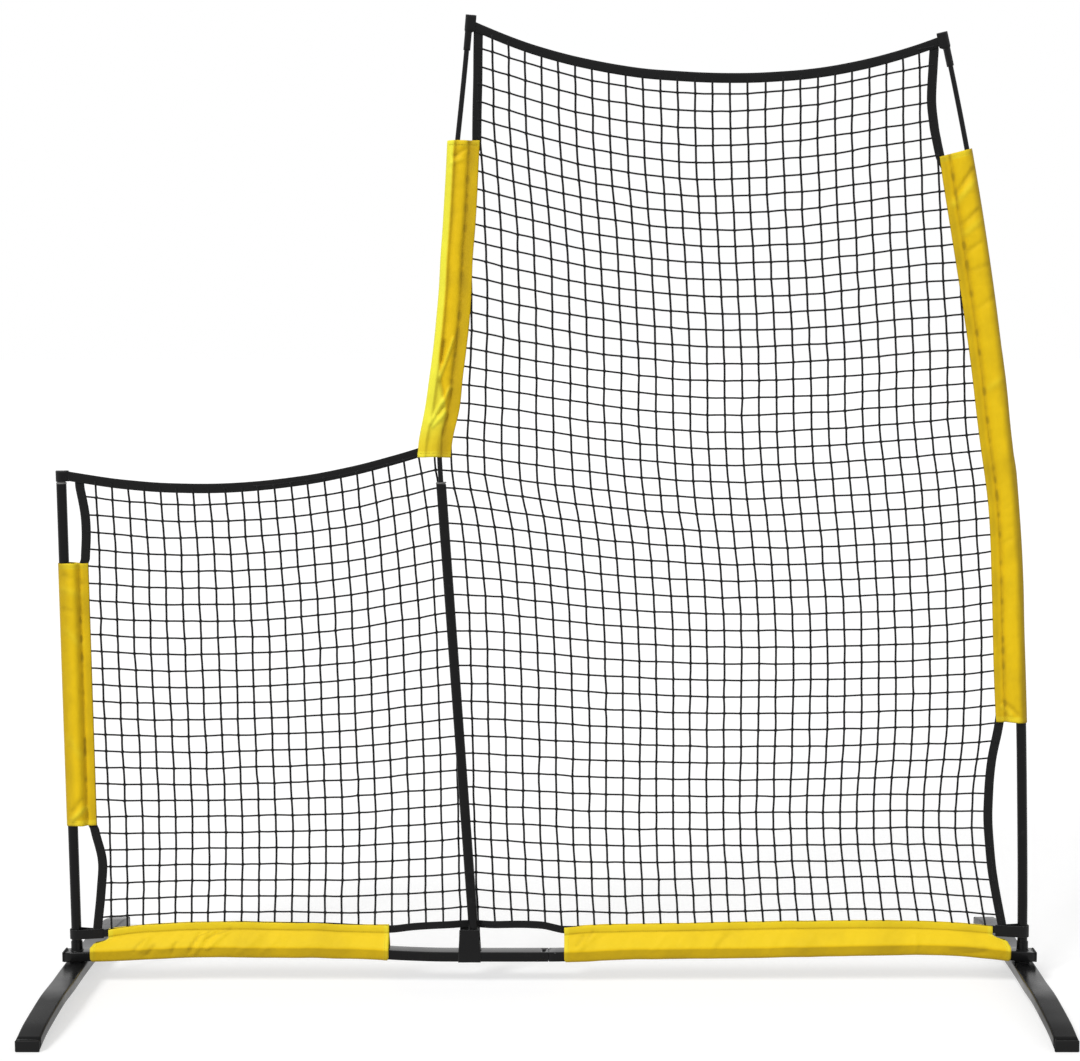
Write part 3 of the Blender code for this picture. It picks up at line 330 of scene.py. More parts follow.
def makeWebbingFinish(name, dark, light, pitch):
    material, nodes, links, shader = newFinish(name, dark, 0.82, shine=0.15)
    uv = addNode(nodes, "UVMap").outputs["UV"]
    ribs = addNode(nodes, "TexWave", {"Scale": math.tau / 20 / pitch, "Distortion": 1.2,
                                      "Detail": 2.0, "Detail Scale": 3.0}, bands_direction="Y")
    threads = addNode(nodes, "TexWave", {"Scale": math.tau / 20 / pitch * 0.8},
                      bands_direction="X")
    fuzz = addNode(nodes, "TexNoise", {"Scale": 900.0, "Detail": 3.0})
    for texture in (ribs, threads, fuzz):
        links.new(uv, texture.inputs["Vector"])
    cross = addNode(nodes, "Math", operation="MULTIPLY")
    links.new(ribs.outputs["Fac"], cross.inputs[0])
    links.new(threads.outputs["Fac"], cross.inputs[1])
    links.new(blendColours(nodes, links, cross.outputs[0], dark, light),
              shader.inputs["Base Color"])
    first = addBump(nodes, links, shader, cross.outputs[0], 0.6, 0.0005)
    addBump(nodes, links, shader, fuzz.outputs["Fac"], 0.25, 0.0002, first)
    shader.inputs["Sheen Weight"].default_value = 0.25
    return material


def makeTwineFinish(name, dark, light, pitch):
    material, nodes, links, shader = newFinish(name, dark, 0.7, shine=0.12)
    place = addNode(nodes, "TexCoord").outputs["Object"]
    twist = addNode(nodes, "TexWave", {"Scale": math.tau / 20 / pitch, "Distortion": 0.5},
                    bands_direction="DIAGONAL")
    links.new(place, twist.inputs["Vector"])
    links.new(blendColours(nodes, links, twist.outputs["Fac"], dark, light),
              shader.inputs["Base Color"])
    addBump(nodes, links, shader, twist.outputs["Fac"], 0.5, 0.0006)
    shader.inputs["Sheen Weight"].default_value = 0.2
    return material


finishes = {
    "black_steel": makeCoatedSteel("coatedSteel", (0.0040, 0.0040, 0.0042), (0.014, 0.014, 0.0145),
                                   0.32, 0.15),
    "black_plastic": makeMoulded("blackPlastic", (0.0045, 0.0045, 0.0047), (0.009, 0.009, 0.009),
                                 0.48, 0.16),
    "grey_plastic": makeMoulded("greyPlastic", (0.15, 0.15, 0.148), (0.20, 0.20, 0.195), 0.5, 0.4),
    "black_rod": makeFibreRod("fibreRod", (0.004, 0.004, 0.0045), (0.010, 0.010, 0.011), 0.38),
    "zinc_steel": makeBareMetal("zincPlate", (0.62, 0.63, 0.65), (0.50, 0.50, 0.50), 0.34, 160.0),
    "spring_steel": makeBareMetal("springSteel", (0.50, 0.51, 0.53), (0.36, 0.36, 0.38), 0.30,
                                  90.0),
    "yellow_cloth": makeCloth("yellowCloth", (0.890, 0.592, 0.0048), (0.97, 0.91, 0.058),
                              (0.440, 0.290, 0.006), 0.0009, 0.55),
    "black_webbing": makeWebbingFinish("blackWebbing", (0.0040, 0.0040, 0.0042),
                                       (0.011, 0.011, 0.0112), 0.0018),
    "black_twine": makeTwineFinish("blackTwine", (0.0035, 0.0035, 0.004), (0.010, 0.010, 0.011),
                                   0.0022),
}
tubeFinish = makeCoatedSteel("tubeSteel", (0.0045, 0.0045, 0.0047), (0.013, 0.013, 0.0135), 0.20,
                             0.18)
shineOnTop(tubeFinish, (0.16, 0.62))
darkZinc = makeBareMetal("darkZinc", (0.060, 0.060, 0.063), (0.030, 0.030, 0.031), 0.36, 160.0)
footFinish = makeFootSteel("footSteel", (0.0050, 0.0050, 0.0052), (0.020, 0.020, 0.0205), 0.25,
                           (0.55, 0.11), (0.160, 0.255))
threadFinish = makeThread("yellowThread", (0.70, 0.46, 0.006), 0.0007)


# A mesh object of a bmesh, with its finish, its body and the nodes that it stands for
def finishPiece(name, form, slot, replaces=(), body="screen", angle=40, finish=None):
    mesh = bpy.data.meshes.new(name)
    form.to_mesh(mesh)
    form.free()
    mesh.shade_smooth()
    mesh.set_sharp_from_angle(angle=math.radians(angle))
    piece = bpy.data.objects.new(name, mesh)
    scene.collection.objects.link(piece)
    mesh.materials.append(finish or finishes[slot])
    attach(piece, body)
    if replaces:
        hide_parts(*replaces)
    return piece


# Lines that the pieces follow, as X at a height

lineSet = {"halfSpan": 1.057, "tubeTop": 0.0775, "tubeBottom": 0.0555, "tubeDepth": 0.038,
           "poleTop": 1.123, "leftLean": 0.009, "midFoot": -0.167, "midLean": 0.069,
           "leftTip": 1.1521, "midTip": 2.1284, "rightTip": 2.0923,
           "rightBow": 0.213, "bowPower": 2.3,
           "midBend": (0.2466, -0.1132),
           "rightShift": ((0.0775, 0), (0.19, -0.0015), (0.41, -0.0042), (0.60, -0.0044),
                          (0.79, -0.0040), (0.90, -0.0012), (1.0, 0), (2.1, 0))}


def mix(low, high, share):
    return low + (high - low) * share


def easeShare(value, low, high):
    share = min(max((value - low) / (high - low), 0), 1)
    return share * share * (3 - 2 * share)


# 1 over a stretch and 0 beyond it, with an eased change at each end
def easeOver(value, lowStart, lowEnd, highStart, highEnd):
    return easeShare(value, lowStart, lowEnd) * (1 - easeShare(value, highStart, highEnd))


# A smooth curve through points that are sorted by their first value
def readCurve(points, at):
    at = min(max(at, points[0][0]), points[-1][0])
    right = next(i for i in range(1, len(points)) if at <= points[i][0])
    left = right - 1

    def slope(i):
        before, after = points[max(i - 1, 0)], points[min(i + 1, len(points) - 1)]
        return (after[1] - before[1]) / (after[0] - before[0])

    width = points[right][0] - points[left][0]
    share = (at - points[left][0]) / width
    step = share * share * (3 - 2 * share)
    return (mix(points[left][1], points[right][1], step)
            + share * (1 - share) ** 2 * width * slope(left)
            - share ** 2 * (1 - share) * width * slope(right))


def leftLine(z):
    rise = (z - lineSet["tubeTop"]) / (lineSet["poleTop"] - lineSet["tubeTop"])
    return -lineSet["halfSpan"] - lineSet["leftLean"] * rise


def midLine(z):
    lean = lineSet["midLean"] / (lineSet["poleTop"] - lineSet["tubeTop"])
    rise = z - lineSet["poleTop"]
    bend = 0
    if rise > 0:
        free = lineSet["midTip"] - lineSet["poleTop"]
        share = rise / free
        bend = free * (lineSet["midBend"][0] * share ** 2 + lineSet["midBend"][1] * share ** 3)
    return lineSet["midFoot"] - lineSet["midLean"] - lean * rise + bend


def rightArc(z):
    share = max(z - lineSet["tubeTop"], 0) / (lineSet["rightTip"] - lineSet["tubeTop"])
    return lineSet["halfSpan"] - lineSet["rightBow"] * share ** lineSet["bowPower"]


def rightLine(z):
    return rightArc(z) + readCurve(lineSet["rightShift"], z)


lines = {"left": leftLine, "mid": midLine, "right": rightLine}


# Borders of the net, the lines that the webbing follows

borderSet = {
    "leftIn": ((0.1235, 0.0474), (0.2212, 0.0589), (0.2830, 0.0626), (0.3605, 0.0469),
               (0.4043, 0.0483), (0.9209, 0.0483), (0.9512, 0.0469), (1.0152, 0.0511),
               (1.0590, 0.0497), (1.1208, 0.0391)),
    "rightIn": ((0.1245, 0.0445), (0.2322, 0.0660), (0.3390, 0.0785), (0.3996, 0.0800),
                (0.5084, 0.0710), (0.5942, 0.0530), (0.6486, 0.0485), (0.9415, 0.0490),
                (1.1236, 0.0595), (1.8098, 0.0600), (1.8621, 0.0612), (1.8935, 0.0613),
                (1.9555, 0.0545), (2.0588, 0.0262)),
    "bottom": ((-1.0094, 0.1145), (-0.8985, 0.1270), (-0.7293, 0.1335), (-0.5285, 0.1325),
               (-0.3594, 0.1255), (-0.3000, 0.1312), (-0.2560, 0.1340), (-0.2008, 0.1344),
               (-0.1400, 0.1334), (-0.0950, 0.1360), (-0.0550, 0.1366), (-0.0150, 0.1340),
               (0.0107, 0.1280), (0.0317, 0.1240), (0.2537, 0.1270), (0.5285, 0.1340),
               (0.8139, 0.1340), (0.9936, 0.1250), (1.0126, 0.1230)),
    "upper": {"start": (-0.1589, 2.1041), "end": (0.8365, 2.0726), "sag": 0.0916, "power": 2.25},
    "lower": {"start": (-1.0541, 1.1412), "end": (-0.2825, 1.1924), "sag": 0.0505, "power": 2.0},
    "push": 0.0142, "pushWidth": 0.045, "pushFade": 0.060,
    "sleeveLow": 1.183, "sleeveHigh": 1.865, "sleeveWidth": 0.0755, "sleeveInset": 0.0106,
    "sleeveLine": (-0.219, 0.0149, 0.0546), "midTop": -0.1499,
    "rightInset": 0.004, "rightCovered": (0.620, 0.660, 1.780, 1.820),
}


# Net side and outer edges of the left sleeve, from the upright's line
leftSleeve = {"net": 0.0531, "outer": 0.0127}

# Net side and outer edges of the sleeves on the two tall uprights
sleeveEdges = {
    "rightNet": ((0.590, 0.9880), (0.712, 0.9806), (0.890, 0.9728), (1.066, 0.9622),
                 (1.241, 0.9364), (1.415, 0.9124), (1.587, 0.8833), (1.758, 0.8528),
                 (1.842, 0.8385)),
    "rightOuter": ((0.590, 1.0478), (0.712, 1.0426), (0.800, 1.0380), (0.890, 1.0348),
                   (0.960, 1.0336), (1.066, 1.0282), (1.241, 1.0054), (1.330, 0.9947),
                   (1.415, 0.9812), (1.587, 0.9502), (1.680, 0.9330), (1.758, 0.9178),
                   (1.842, 0.9010)),
    "midNet": ((1.179, -0.2151), (1.224, -0.2096), (1.289, -0.1945), (1.354, -0.1873),
               (1.419, -0.1790), (1.484, -0.1715), (1.548, -0.1672), (1.613, -0.1644),
               (1.677, -0.1588), (1.741, -0.1545), (1.805, -0.1512), (1.865, -0.1480)),
    "midOuter": ((1.179, -0.2877), (1.224, -0.2825), (1.289, -0.2695), (1.354, -0.2598),
                 (1.419, -0.2505), (1.484, -0.2436), (1.548, -0.2376), (1.613, -0.2338),
                 (1.677, -0.2288), (1.741, -0.2246), (1.805, -0.2206), (1.865, -0.2174)),
}


def sleeveEdge(name, z):
    return readCurve(sleeveEdges[name], z)


def leftBorder(z):
    return leftLine(z) + readCurve(borderSet["leftIn"], z)


def rightBorder(z):
    free = rightArc(z) - readCurve(borderSet["rightIn"], z)
    sleeved = sleeveEdge("rightNet", z) + borderSet["rightInset"]
    return mix(free, sleeved, easeOver(z, *borderSet["rightCovered"]))


def bottomBorder(x):
    return readCurve(borderSet["bottom"], x)


def midSleeveLeft(z):
    share = (borderSet["sleeveHigh"] - z) / (borderSet["sleeveHigh"] - borderSet["sleeveLow"])
    start, lean, bend = borderSet["sleeveLine"]
    return start - lean * share - bend * share ** 2


def midBorder(z):
    inSleeve = (midSleeveLeft(min(z, borderSet["sleeveHigh"])) + borderSet["sleeveWidth"]
                - borderSet["sleeveInset"])
    return mix(inSleeve, borderSet["midTop"],
               easeShare(z, borderSet["sleeveHigh"], lineSet["midTip"]))


# A top border that hangs between its two ends
def sagging(edge, share):
    start, end = edge["start"], edge["end"]
    drop = edge["sag"] * (1 - abs(2 * share - 1) ** edge["power"])
    return mix(start[0], end[0], share), mix(start[1], end[1], share) - drop


def upperTop(share):
    return sagging(borderSet["upper"], share)


def lowerTop(share):
    return sagging(borderSet["lower"], share)


def edgeHeight(edge, x):
    start, end = edge(0)[0], edge(1)[0]
    return edge(min(max((x - start) / (end - start), 0), 1))[1]


def pushAt(z):
    top = lineSet["poleTop"]
    return borderSet["push"] * (1 - easeShare(z, top + 0.003, top + borderSet["pushFade"]))


# A point of the net's plane, which the middle upright pushes back
def onNet(x, z):
    away = (x - midLine(z)) / borderSet["pushWidth"]
    return Vector((x, pushAt(z) * math.exp(-away * away), z))


# Net: one knotted L, its crossings numbered in columns to the right and rows down

netSet = {
    "twine": 0.00210, "upright": 1.10, "level": 0.94,   # a radius, and its share each way
    "knotRing": 0.0029, "knotTwine": 0.0017,            # radii
    "jitter": 0.0010, "slack": 0.0009,
    "columns": (-38, 16), "rows": (-19, 32),
    "tall": {
        "columns": (-16, -14, -11, -6, 0, 6, 11, 14, 16),
        "x": ((-19, (-0.255, -0.188, -0.086, 0.092, 0.313, 0.540, 0.723, 0.828, 0.899)),
              (-14, (-0.247, -0.182, -0.083, 0.097, 0.318, 0.542, 0.727, 0.835, 0.903)),
              (-8, (-0.236, -0.171, -0.068, 0.112, 0.332, 0.554, 0.739, 0.849, 0.921)),
              (-2, (-0.232, -0.168, -0.064, 0.120, 0.344, 0.568, 0.754, 0.865, 0.936)),
              (2, (-0.247, -0.175, -0.065, 0.121, 0.346, 0.572, 0.758, 0.869, 0.944)),
              (6, (-0.248, -0.177, -0.063, 0.130, 0.357, 0.585, 0.776, 0.890, 0.966)),
              (9, (-0.228, -0.155, -0.044, 0.145, 0.371, 0.598, 0.787, 0.900, 0.975)),
              (14, (-0.214, -0.139, -0.029, 0.158, 0.385, 0.612, 0.799, 0.913, 0.988)),
              (20, (-0.207, -0.135, -0.023, 0.163, 0.386, 0.614, 0.803, 0.916, 0.990)),
              (26, (-0.204, -0.131, -0.021, 0.163, 0.387, 0.609, 0.794, 0.902, 0.975)),
              (32, (-0.199, -0.122, -0.009, 0.173, 0.402, 0.632, 0.825, 0.939, 1.011))),
        "z": ((-19, (2.130, 2.110, 2.076, 2.027, 1.999, 2.008, 2.041, 2.063, 2.073)),
              (-14, (1.939, 1.919, 1.889, 1.844, 1.817, 1.828, 1.854, 1.870, 1.879)),
              (-8, (1.704, 1.689, 1.664, 1.626, 1.603, 1.608, 1.629, 1.640, 1.646)),
              (-2, (1.468, 1.457, 1.436, 1.406, 1.385, 1.390, 1.405, 1.414, 1.419)),
              (2, (1.304, 1.299, 1.284, 1.257, 1.237, 1.242, 1.255, 1.264, 1.270)),
              (6, (1.153, 1.149, 1.132, 1.108, 1.092, 1.095, 1.106, 1.115, 1.123)),
              (9, (1.036, 1.033, 1.019, 0.997, 0.983, 0.985, 0.994, 1.004, 1.013)),
              (14, (0.837, 0.837, 0.827, 0.809, 0.799, 0.801, 0.807, 0.816, 0.826)),
              (20, (0.600, 0.601, 0.594, 0.583, 0.577, 0.579, 0.584, 0.587, 0.593)),
              (26, (0.368, 0.367, 0.361, 0.354, 0.353, 0.355, 0.357, 0.356, 0.355)),
              (32, (0.133, 0.134, 0.128, 0.125, 0.129, 0.134, 0.133, 0.125, 0.119)))},
    "low": {
        "columns": (-38, -33, -27, -22, -18, -16, -14),
        "x": ((5, (-1.027, -0.850, -0.637, -0.456, -0.318, -0.253, -0.182)),
              (9, (-1.023, -0.843, -0.626, -0.443, -0.300, -0.228, -0.155)),
              (14, (-1.023, -0.841, -0.617, -0.433, -0.287, -0.214, -0.139)),
              (20, (-1.020, -0.835, -0.614, -0.428, -0.281, -0.207, -0.135)),
              (26, (-1.014, -0.831, -0.608, -0.423, -0.277, -0.204, -0.131)),
              (32, (-1.014, -0.837, -0.614, -0.428, -0.277, -0.199, -0.122))),
        "z": ((5, (1.134, 1.116, 1.119, 1.143, 1.176, 1.191, 1.187)),
              (9, (0.981, 0.968, 0.972, 0.991, 1.022, 1.036, 1.033)),
              (14, (0.791, 0.783, 0.787, 0.804, 0.828, 0.837, 0.837)),
              (20, (0.568, 0.563, 0.568, 0.578, 0.595, 0.600, 0.601)),
              (26, (0.344, 0.345, 0.348, 0.353, 0.364, 0.368, 0.367)),
              (32, (0.113, 0.126, 0.128, 0.124, 0.131, 0.133, 0.134)))},
}


# Where a column and a row of the net cross, in the net's plane
def crossing(column, row):
    part = netSet["tall"] if column >= -16 else netSet["low"]
    found = []
    for axis in ("x", "z"):
        down = [(step, readCurve(tuple(zip(part["columns"], across)), column))
                for step, across in part[axis]]
        found.append(readCurve(down, row))
    sideways = noise.noise(Vector((column * 0.73, row * 0.81, 4.2))) * netSet["jitter"] * 2
    upwards = noise.noise(Vector((column * 0.73, row * 0.81, 19.6))) * netSet["jitter"] * 2
    return found[0] + sideways, found[1] + upwards


def inNet(x, z):
    if z < bottomBorder(x) or x < leftBorder(z) or x > rightBorder(z):
        return False
    if x < midSleeveLeft(borderSet["sleeveLow"]):
        return z < edgeHeight(lowerTop, x)
    if z > borderSet["sleeveLow"] + 0.008:
        return x > midBorder(z) and z < edgeHeight(upperTop, x)
    return True


# The point between two crossings that lies on the border
def toBorder(inside, outside):
    for _ in range(14):
        middle = ((inside[0] + outside[0]) / 2, (inside[1] + outside[1]) / 2)
        if inNet(*middle):
            inside = middle
        else:
            outside = middle
    return inside


# The stretches of a strand that lie in the net, each ending on the border
def strandRuns(points):
    runs, run = [], []
    for i, point in enumerate(points):
        if inNet(*point):
            if not run and i:
                run.append(toBorder(point, points[i - 1]))
            run.append(point)
        elif run:
            run.append(toBorder(points[i - 1], point))
            runs.append(run)
            run = []
    if run:
        runs.append(run)
    return runs


def addStrand(curve, run, seed, weight):
    spots = []
    for i, (x, z) in enumerate(run):
        spots.append((x, z))
        if i + 1 < len(run):
            nextX, nextZ = run[i + 1]
            bow = noise.noise(Vector((seed * 1.7, i * 0.9, 7.3))) * netSet["slack"]
            spots.append(((x + nextX) / 2 + bow * (abs(nextZ - z) > abs(nextX - x)),
                          (z + nextZ) / 2 + bow * (abs(nextZ - z) <= abs(nextX - x))))
    spline = curve.splines.new("POLY")
    spline.points.add(len(spots) - 1)
    for point, (x, z) in zip(spline.points, spots):
        point.co = (*onNet(x, z), 1)
        point.radius = weight


# Two turns of twine drawn tight round a crossing
def makeKnot():
    form = bmesh.new()
    for lean in (0.75, -0.75):
        where = Matrix.Rotation(lean, 4, "Z") @ Matrix.Rotation(0.5, 4, "X")
        ring = bmesh.ops.create_circle(
            form, segments=5, radius=netSet["knotTwine"],
            matrix=where @ Matrix.Translation((netSet["knotRing"], 0, 0))
            @ Matrix.Rotation(math.pi / 2, 4, "X"))["verts"]
        edges = {edge for vert in ring for edge in vert.link_edges}
        bmesh.ops.spin(form, geom=ring + list(edges), cent=(0, 0, 0),
                       axis=where.to_3x3() @ Vector((0, 0, 1)), angle=math.tau, steps=6,
                       use_merge=True)
    bmesh.ops.recalc_face_normals(form, faces=form.faces)
    knot = bpy.data.meshes.new("knot")
    form.to_mesh(knot)
    form.free()
    return knot


# One small mesh copied to many places, as one piece
def joinCopies(name, mesh, places, slot, finish=None):
    holders = []
    for place in places:
        holder = bpy.data.objects.new(name, mesh if holders else mesh.copy())
        holder.matrix_world = place
        scene.collection.objects.link(holder)
        holders.append(holder)
    bpy.context.view_layer.update()
    with bpy.context.temp_override(active_object=holders[0], selected_objects=holders,
                                   selected_editable_objects=holders, object=holders[0]):
        bpy.ops.object.join()
    form = bmesh.new()
    form.from_mesh(holders[0].data)
    form.transform(holders[0].matrix_world)
    bpy.data.objects.remove(holders[0])
    return finishPiece(name, form, slot, angle=80, finish=finish)


def makeNet():
    columns = range(netSet["columns"][0], netSet["columns"][1] + 1)
    rows = range(netSet["rows"][0], netSet["rows"][1] + 1)
    points = {(i, j): crossing(i, j) for i in columns for j in rows if i >= -16 or j >= 5}
    curve = bpy.data.curves.new("netStrands", "CURVE")
    curve.dimensions = "3D"
    curve.bevel_depth = netSet["twine"]
    curve.bevel_resolution = 2
    for i in columns:
        for run in strandRuns([points[i, j] for j in rows if (i, j) in points]):
            addStrand(curve, run, i, netSet["upright"])
    for j in rows:
        for run in strandRuns([points[i, j] for i in columns if (i, j) in points]):
            addStrand(curve, run, j + 100, netSet["level"])
    strands = bpy.data.objects.new("netStrands", curve)
    scene.collection.objects.link(strands)
    bpy.context.view_layer.update()
    solid = strands.evaluated_get(bpy.context.evaluated_depsgraph_get())
    form = bmesh.new()
    form.from_mesh(bpy.data.meshes.new_from_object(solid))
    bpy.data.objects.remove(strands)
    finishPiece("netTwine", form, "black_twine", ("net_left", "net_right"), angle=60)
    knot = makeKnot()
    for name, keep in (("netKnotsLow", lambda i: i < -8), ("netKnotsTall", lambda i: i >= -8)):
        joinCopies(name, knot,
                   [Matrix.Translation(onNet(x, z))
                    @ Matrix.Rotation(noise.noise(Vector((i * 1.3, j * 1.1, 0))) * 1.2, 4, "Y")
                    for (i, j), (x, z) in points.items() if keep(i) and inNet(x, z)],
                   "black_twine")


makeNet()
print("net made")


# Sheets: a surface given by shares across and along, with its UV map in metres

def sheetForm(columns, rows, place, width, length, tint=None):
    form = bmesh.new()
    flat = form.loops.layers.uv.new("UVMap")
    shade = form.verts.layers.float_color.new("tint") if tint else None
    bmesh.ops.create_grid(form, x_segments=columns, y_segments=rows, size=1)
    for face in form.faces:
        for loop in face.loops:
            loop[flat].uv = ((loop.vert.co.x + 1) / 2 * width, (loop.vert.co.y + 1) / 2 * length)
    for vert in form.verts:
        across, along = (vert.co.x + 1) / 2, (vert.co.y + 1) / 2
        vert.co = place(across, along)
        if tint:
            vert[shade] = (*tint(across, along), 0, 1)
    return form


def thicken(piece, thickness, offset=0):
    wall = piece.modifiers.new("wall", "SOLIDIFY")
    wall.thickness, wall.offset = thickness, offset
    wall.use_even_offset = True


webbingSet = {"top": 0.0210, "bottom": 0.0165, "side": 0.0200, "thick": 0.0020, "step": 0.007,
              "ripple": 0.0007, "hidden": 0.0128, "back": 0.0021, "halfBottom": 1.0412,
              "over": {"left": 0.014, "right": 0.012, "mid": 0.014}, "midEnd": (0.002, -0.1409),
              "covered": {"left": (0.354, 0.372, 0.942, 0.956),
                          "right": (0.600, 0.640, 1.790, 1.830), "mid": (1.820, 1.862)}}


# A webbing strip along a middle line; across is x for an upright strip, z for a level one
def makeStrip(name, node, middle, length, width, across, seed, behind=0):
    rows = round(length / webbingSet["step"])

    def place(share, along):
        x, z = middle(along)
        shift = (share - 0.5) * width
        drift = noise.noise(Vector((seed, along * length * 14, 0.3))) * webbingSet["ripple"]
        twist = noise.noise(Vector((seed, along * length * 9, share * 0.8))) * webbingSet["ripple"]
        spot = (onNet(x + shift + drift, z) if across == "x" else onNet(x, z + shift + drift))
        spot.y += twist * 2 + behind * easeShare(along, 0.975, 0.985)
        return spot

    strip = finishPiece(name, sheetForm(4, rows, place, width, length), "black_webbing", (node,))
    thicken(strip, webbingSet["thick"])
    return strip


def makeWebbing():
    top, under, side = webbingSet["top"] / 2, webbingSet["bottom"] / 2, webbingSet["side"] / 2
    over, covered = webbingSet["over"], webbingSet["covered"]

    def left(share):
        x = leftBorder(lineSet["poleTop"])
        low = bottomBorder(leftBorder(lineSet["tubeTop"]) + side) + under
        z = mix(low, edgeHeight(lowerTop, x + side) - top + over["left"], share)
        sleeved = leftLine(z) + leftSleeve["net"] - webbingSet["hidden"]
        return mix(leftBorder(z), sleeved, easeOver(z, *covered["left"])), z

    def right(share):
        low = bottomBorder(rightBorder(lineSet["tubeTop"]) - side) + under
        x = rightBorder(lineSet["rightTip"])
        z = mix(low, edgeHeight(upperTop, x - side) - top + over["right"], share)
        sleeved = sleeveEdge("rightNet", z) + webbingSet["hidden"]
        return mix(rightBorder(z), sleeved, easeOver(z, *covered["right"])), z

    def mid(share):
        start, x = webbingSet["midEnd"]
        z = mix(borderSet["sleeveLow"] + start, edgeHeight(upperTop, x) - top + over["mid"], share)
        sleeved = sleeveEdge("midNet", z) - webbingSet["hidden"]
        return mix(midBorder(z), sleeved, 1 - easeShare(z, *covered["mid"])), z

    def bottom(share):
        x = mix(-webbingSet["halfBottom"], webbingSet["halfBottom"], share)
        return x, bottomBorder(x)

    for name, node, middle, length, seed in (
            ("webbingLeft", "webbing_left_side", left, 0.99, 1.5),
            ("webbingRight", "webbing_right_side", right, 1.94, 2.5),
            ("webbingMid", "webbing_mid_side", mid, 0.90, 3.5)):
        makeStrip(name, node, middle, length, webbingSet["side"], "x", seed, webbingSet["back"])
    makeStrip("webbingBottom", "webbing_bottom", bottom, 2.08, webbingSet["bottom"], "z", 4.5)
    makeStrip("webbingUpper", "webbing_upper_top", upperTop, 1.01, webbingSet["top"], "z", 5.5)
    makeStrip("webbingLower", "webbing_lower_top", lowerTop, 0.78, webbingSet["top"], "z", 6.5)


makeWebbing()
print("webbing made")


# Steel uprights, sockets and rods, turned round their leaning lines

fitGap = 0.0003     # between pieces that sit in or on one another
poleSet = {"radius": 0.011, "wall": 0.0012, "sides": 56, "lip": 0.0005}
socketSet = {"wall": 0.0015, "height": 0.0205, "bead": 0.0022}
rodSet = {"radius": 0.0055, "sides": 40, "tipLength": 0.018, "tipWall": 0.0012,
          "pocketWall": 0.0013}
ferruleSet = {"play": 0.0007, "overhang": 0.0006, "flange": 0.003, "depth": 0.050, "floor": 0.003,
              "edge": 0.0005}
plugSet = {"inside": 0.0091, "rim": 0.0116, "rimTop": 0.0033, "peg": 0.0095, "pegTop": 0.0265,
           "depth": 0.030, "edge": 0.0006}


# A profile of radius and height, spun about Z, then laid along a line or in a place
def turnForm(profile, line=None, steps=48, closed=False, place=None):
    form = bmesh.new()
    verts = [form.verts.new((radius, 0, height)) for radius, height in profile]
    edges = [form.edges.new(pair) for pair in zip(verts, verts[1:] + verts[:1] * closed)]
    bmesh.ops.spin(form, geom=verts + edges, cent=(0, 0, 0), axis=(0, 0, 1), angle=math.tau,
                   steps=steps, use_merge=True)
    bmesh.ops.remove_doubles(form, verts=form.verts, dist=0.000001)
    bmesh.ops.recalc_face_normals(form, faces=form.faces)
    if line:
        for vert in form.verts:
            vert.co.x += line(vert.co.z)
    if place:
        bmesh.ops.transform(form, matrix=place, verts=form.verts)
    return form


def heights(low, high, step):
    count = max(round((high - low) / step), 1)
    return [mix(low, high, i / count) for i in range(count + 1)]


def makePole(side, step):
    radius, wall, lip = poleSet["radius"], poleSet["wall"], poleSet["lip"]
    low, high = lineSet["tubeTop"] + fitGap, lineSet["poleTop"]
    outside = [(radius, z) for z in heights(low, high - lip, step)]
    inside = [(radius - wall, z) for z in reversed(heights(low, high - lip, step))]
    profile = outside + [(radius - lip, high)] + [(radius - wall + lip / 2, high)] + inside
    finishPiece("pole" + side.title(), turnForm(profile, lines[side], poleSet["sides"], True),
                "black_steel", ("pole_tube_" + side,))
    inner = radius + fitGap
    outer = inner + socketSet["wall"]
    low, high, bead = low, low + socketSet["height"], socketSet["bead"]
    profile = [(inner, low), (outer + bead, low), (outer + bead * 0.8, low + bead * 0.35),
               (outer + bead * 0.35, low + bead * 0.8), (outer, low + bead), (outer, high - lip),
               (outer - lip, high), (inner + lip / 2, high), (inner, high - lip)]
    finishPiece("socket" + side.title(), turnForm(profile, lines[side], poleSet["sides"], True),
                "black_steel", ("pole_socket_" + side,))


def lineTilt(line, z):
    return math.atan((line(z + 0.001) - line(z)) / 0.001)


def makeRodSocket(side):
    line, top = lines[side], lineSet["poleTop"]
    tilt = lineTilt(line, top)
    outer = poleSet["radius"] - poleSet["wall"] - ferruleSet["play"]
    rim = poleSet["radius"] + ferruleSet["overhang"]
    bore = rodSet["radius"] + ferruleSet["play"]
    seat = fitGap + rim * abs(math.tan(tilt))
    flange, low, edge = seat + ferruleSet["flange"], -ferruleSet["depth"], ferruleSet["edge"]
    bed = low + ferruleSet["floor"]
    profile = [(0, bed), (bore, bed), (bore, flange - edge), (bore + edge, flange),
               (rim - edge, flange), (rim, flange - edge), (rim, seat + edge), (rim - edge, seat),
               (outer, seat), (outer, low), (0, low)]
    place = Matrix.Translation((line(top), 0, top)) @ Matrix.Rotation(tilt, 4, "Y")
    finishPiece("rodSocket" + side.title(), turnForm(profile, place=place), "grey_plastic",
                ("rod_socket_" + side,))


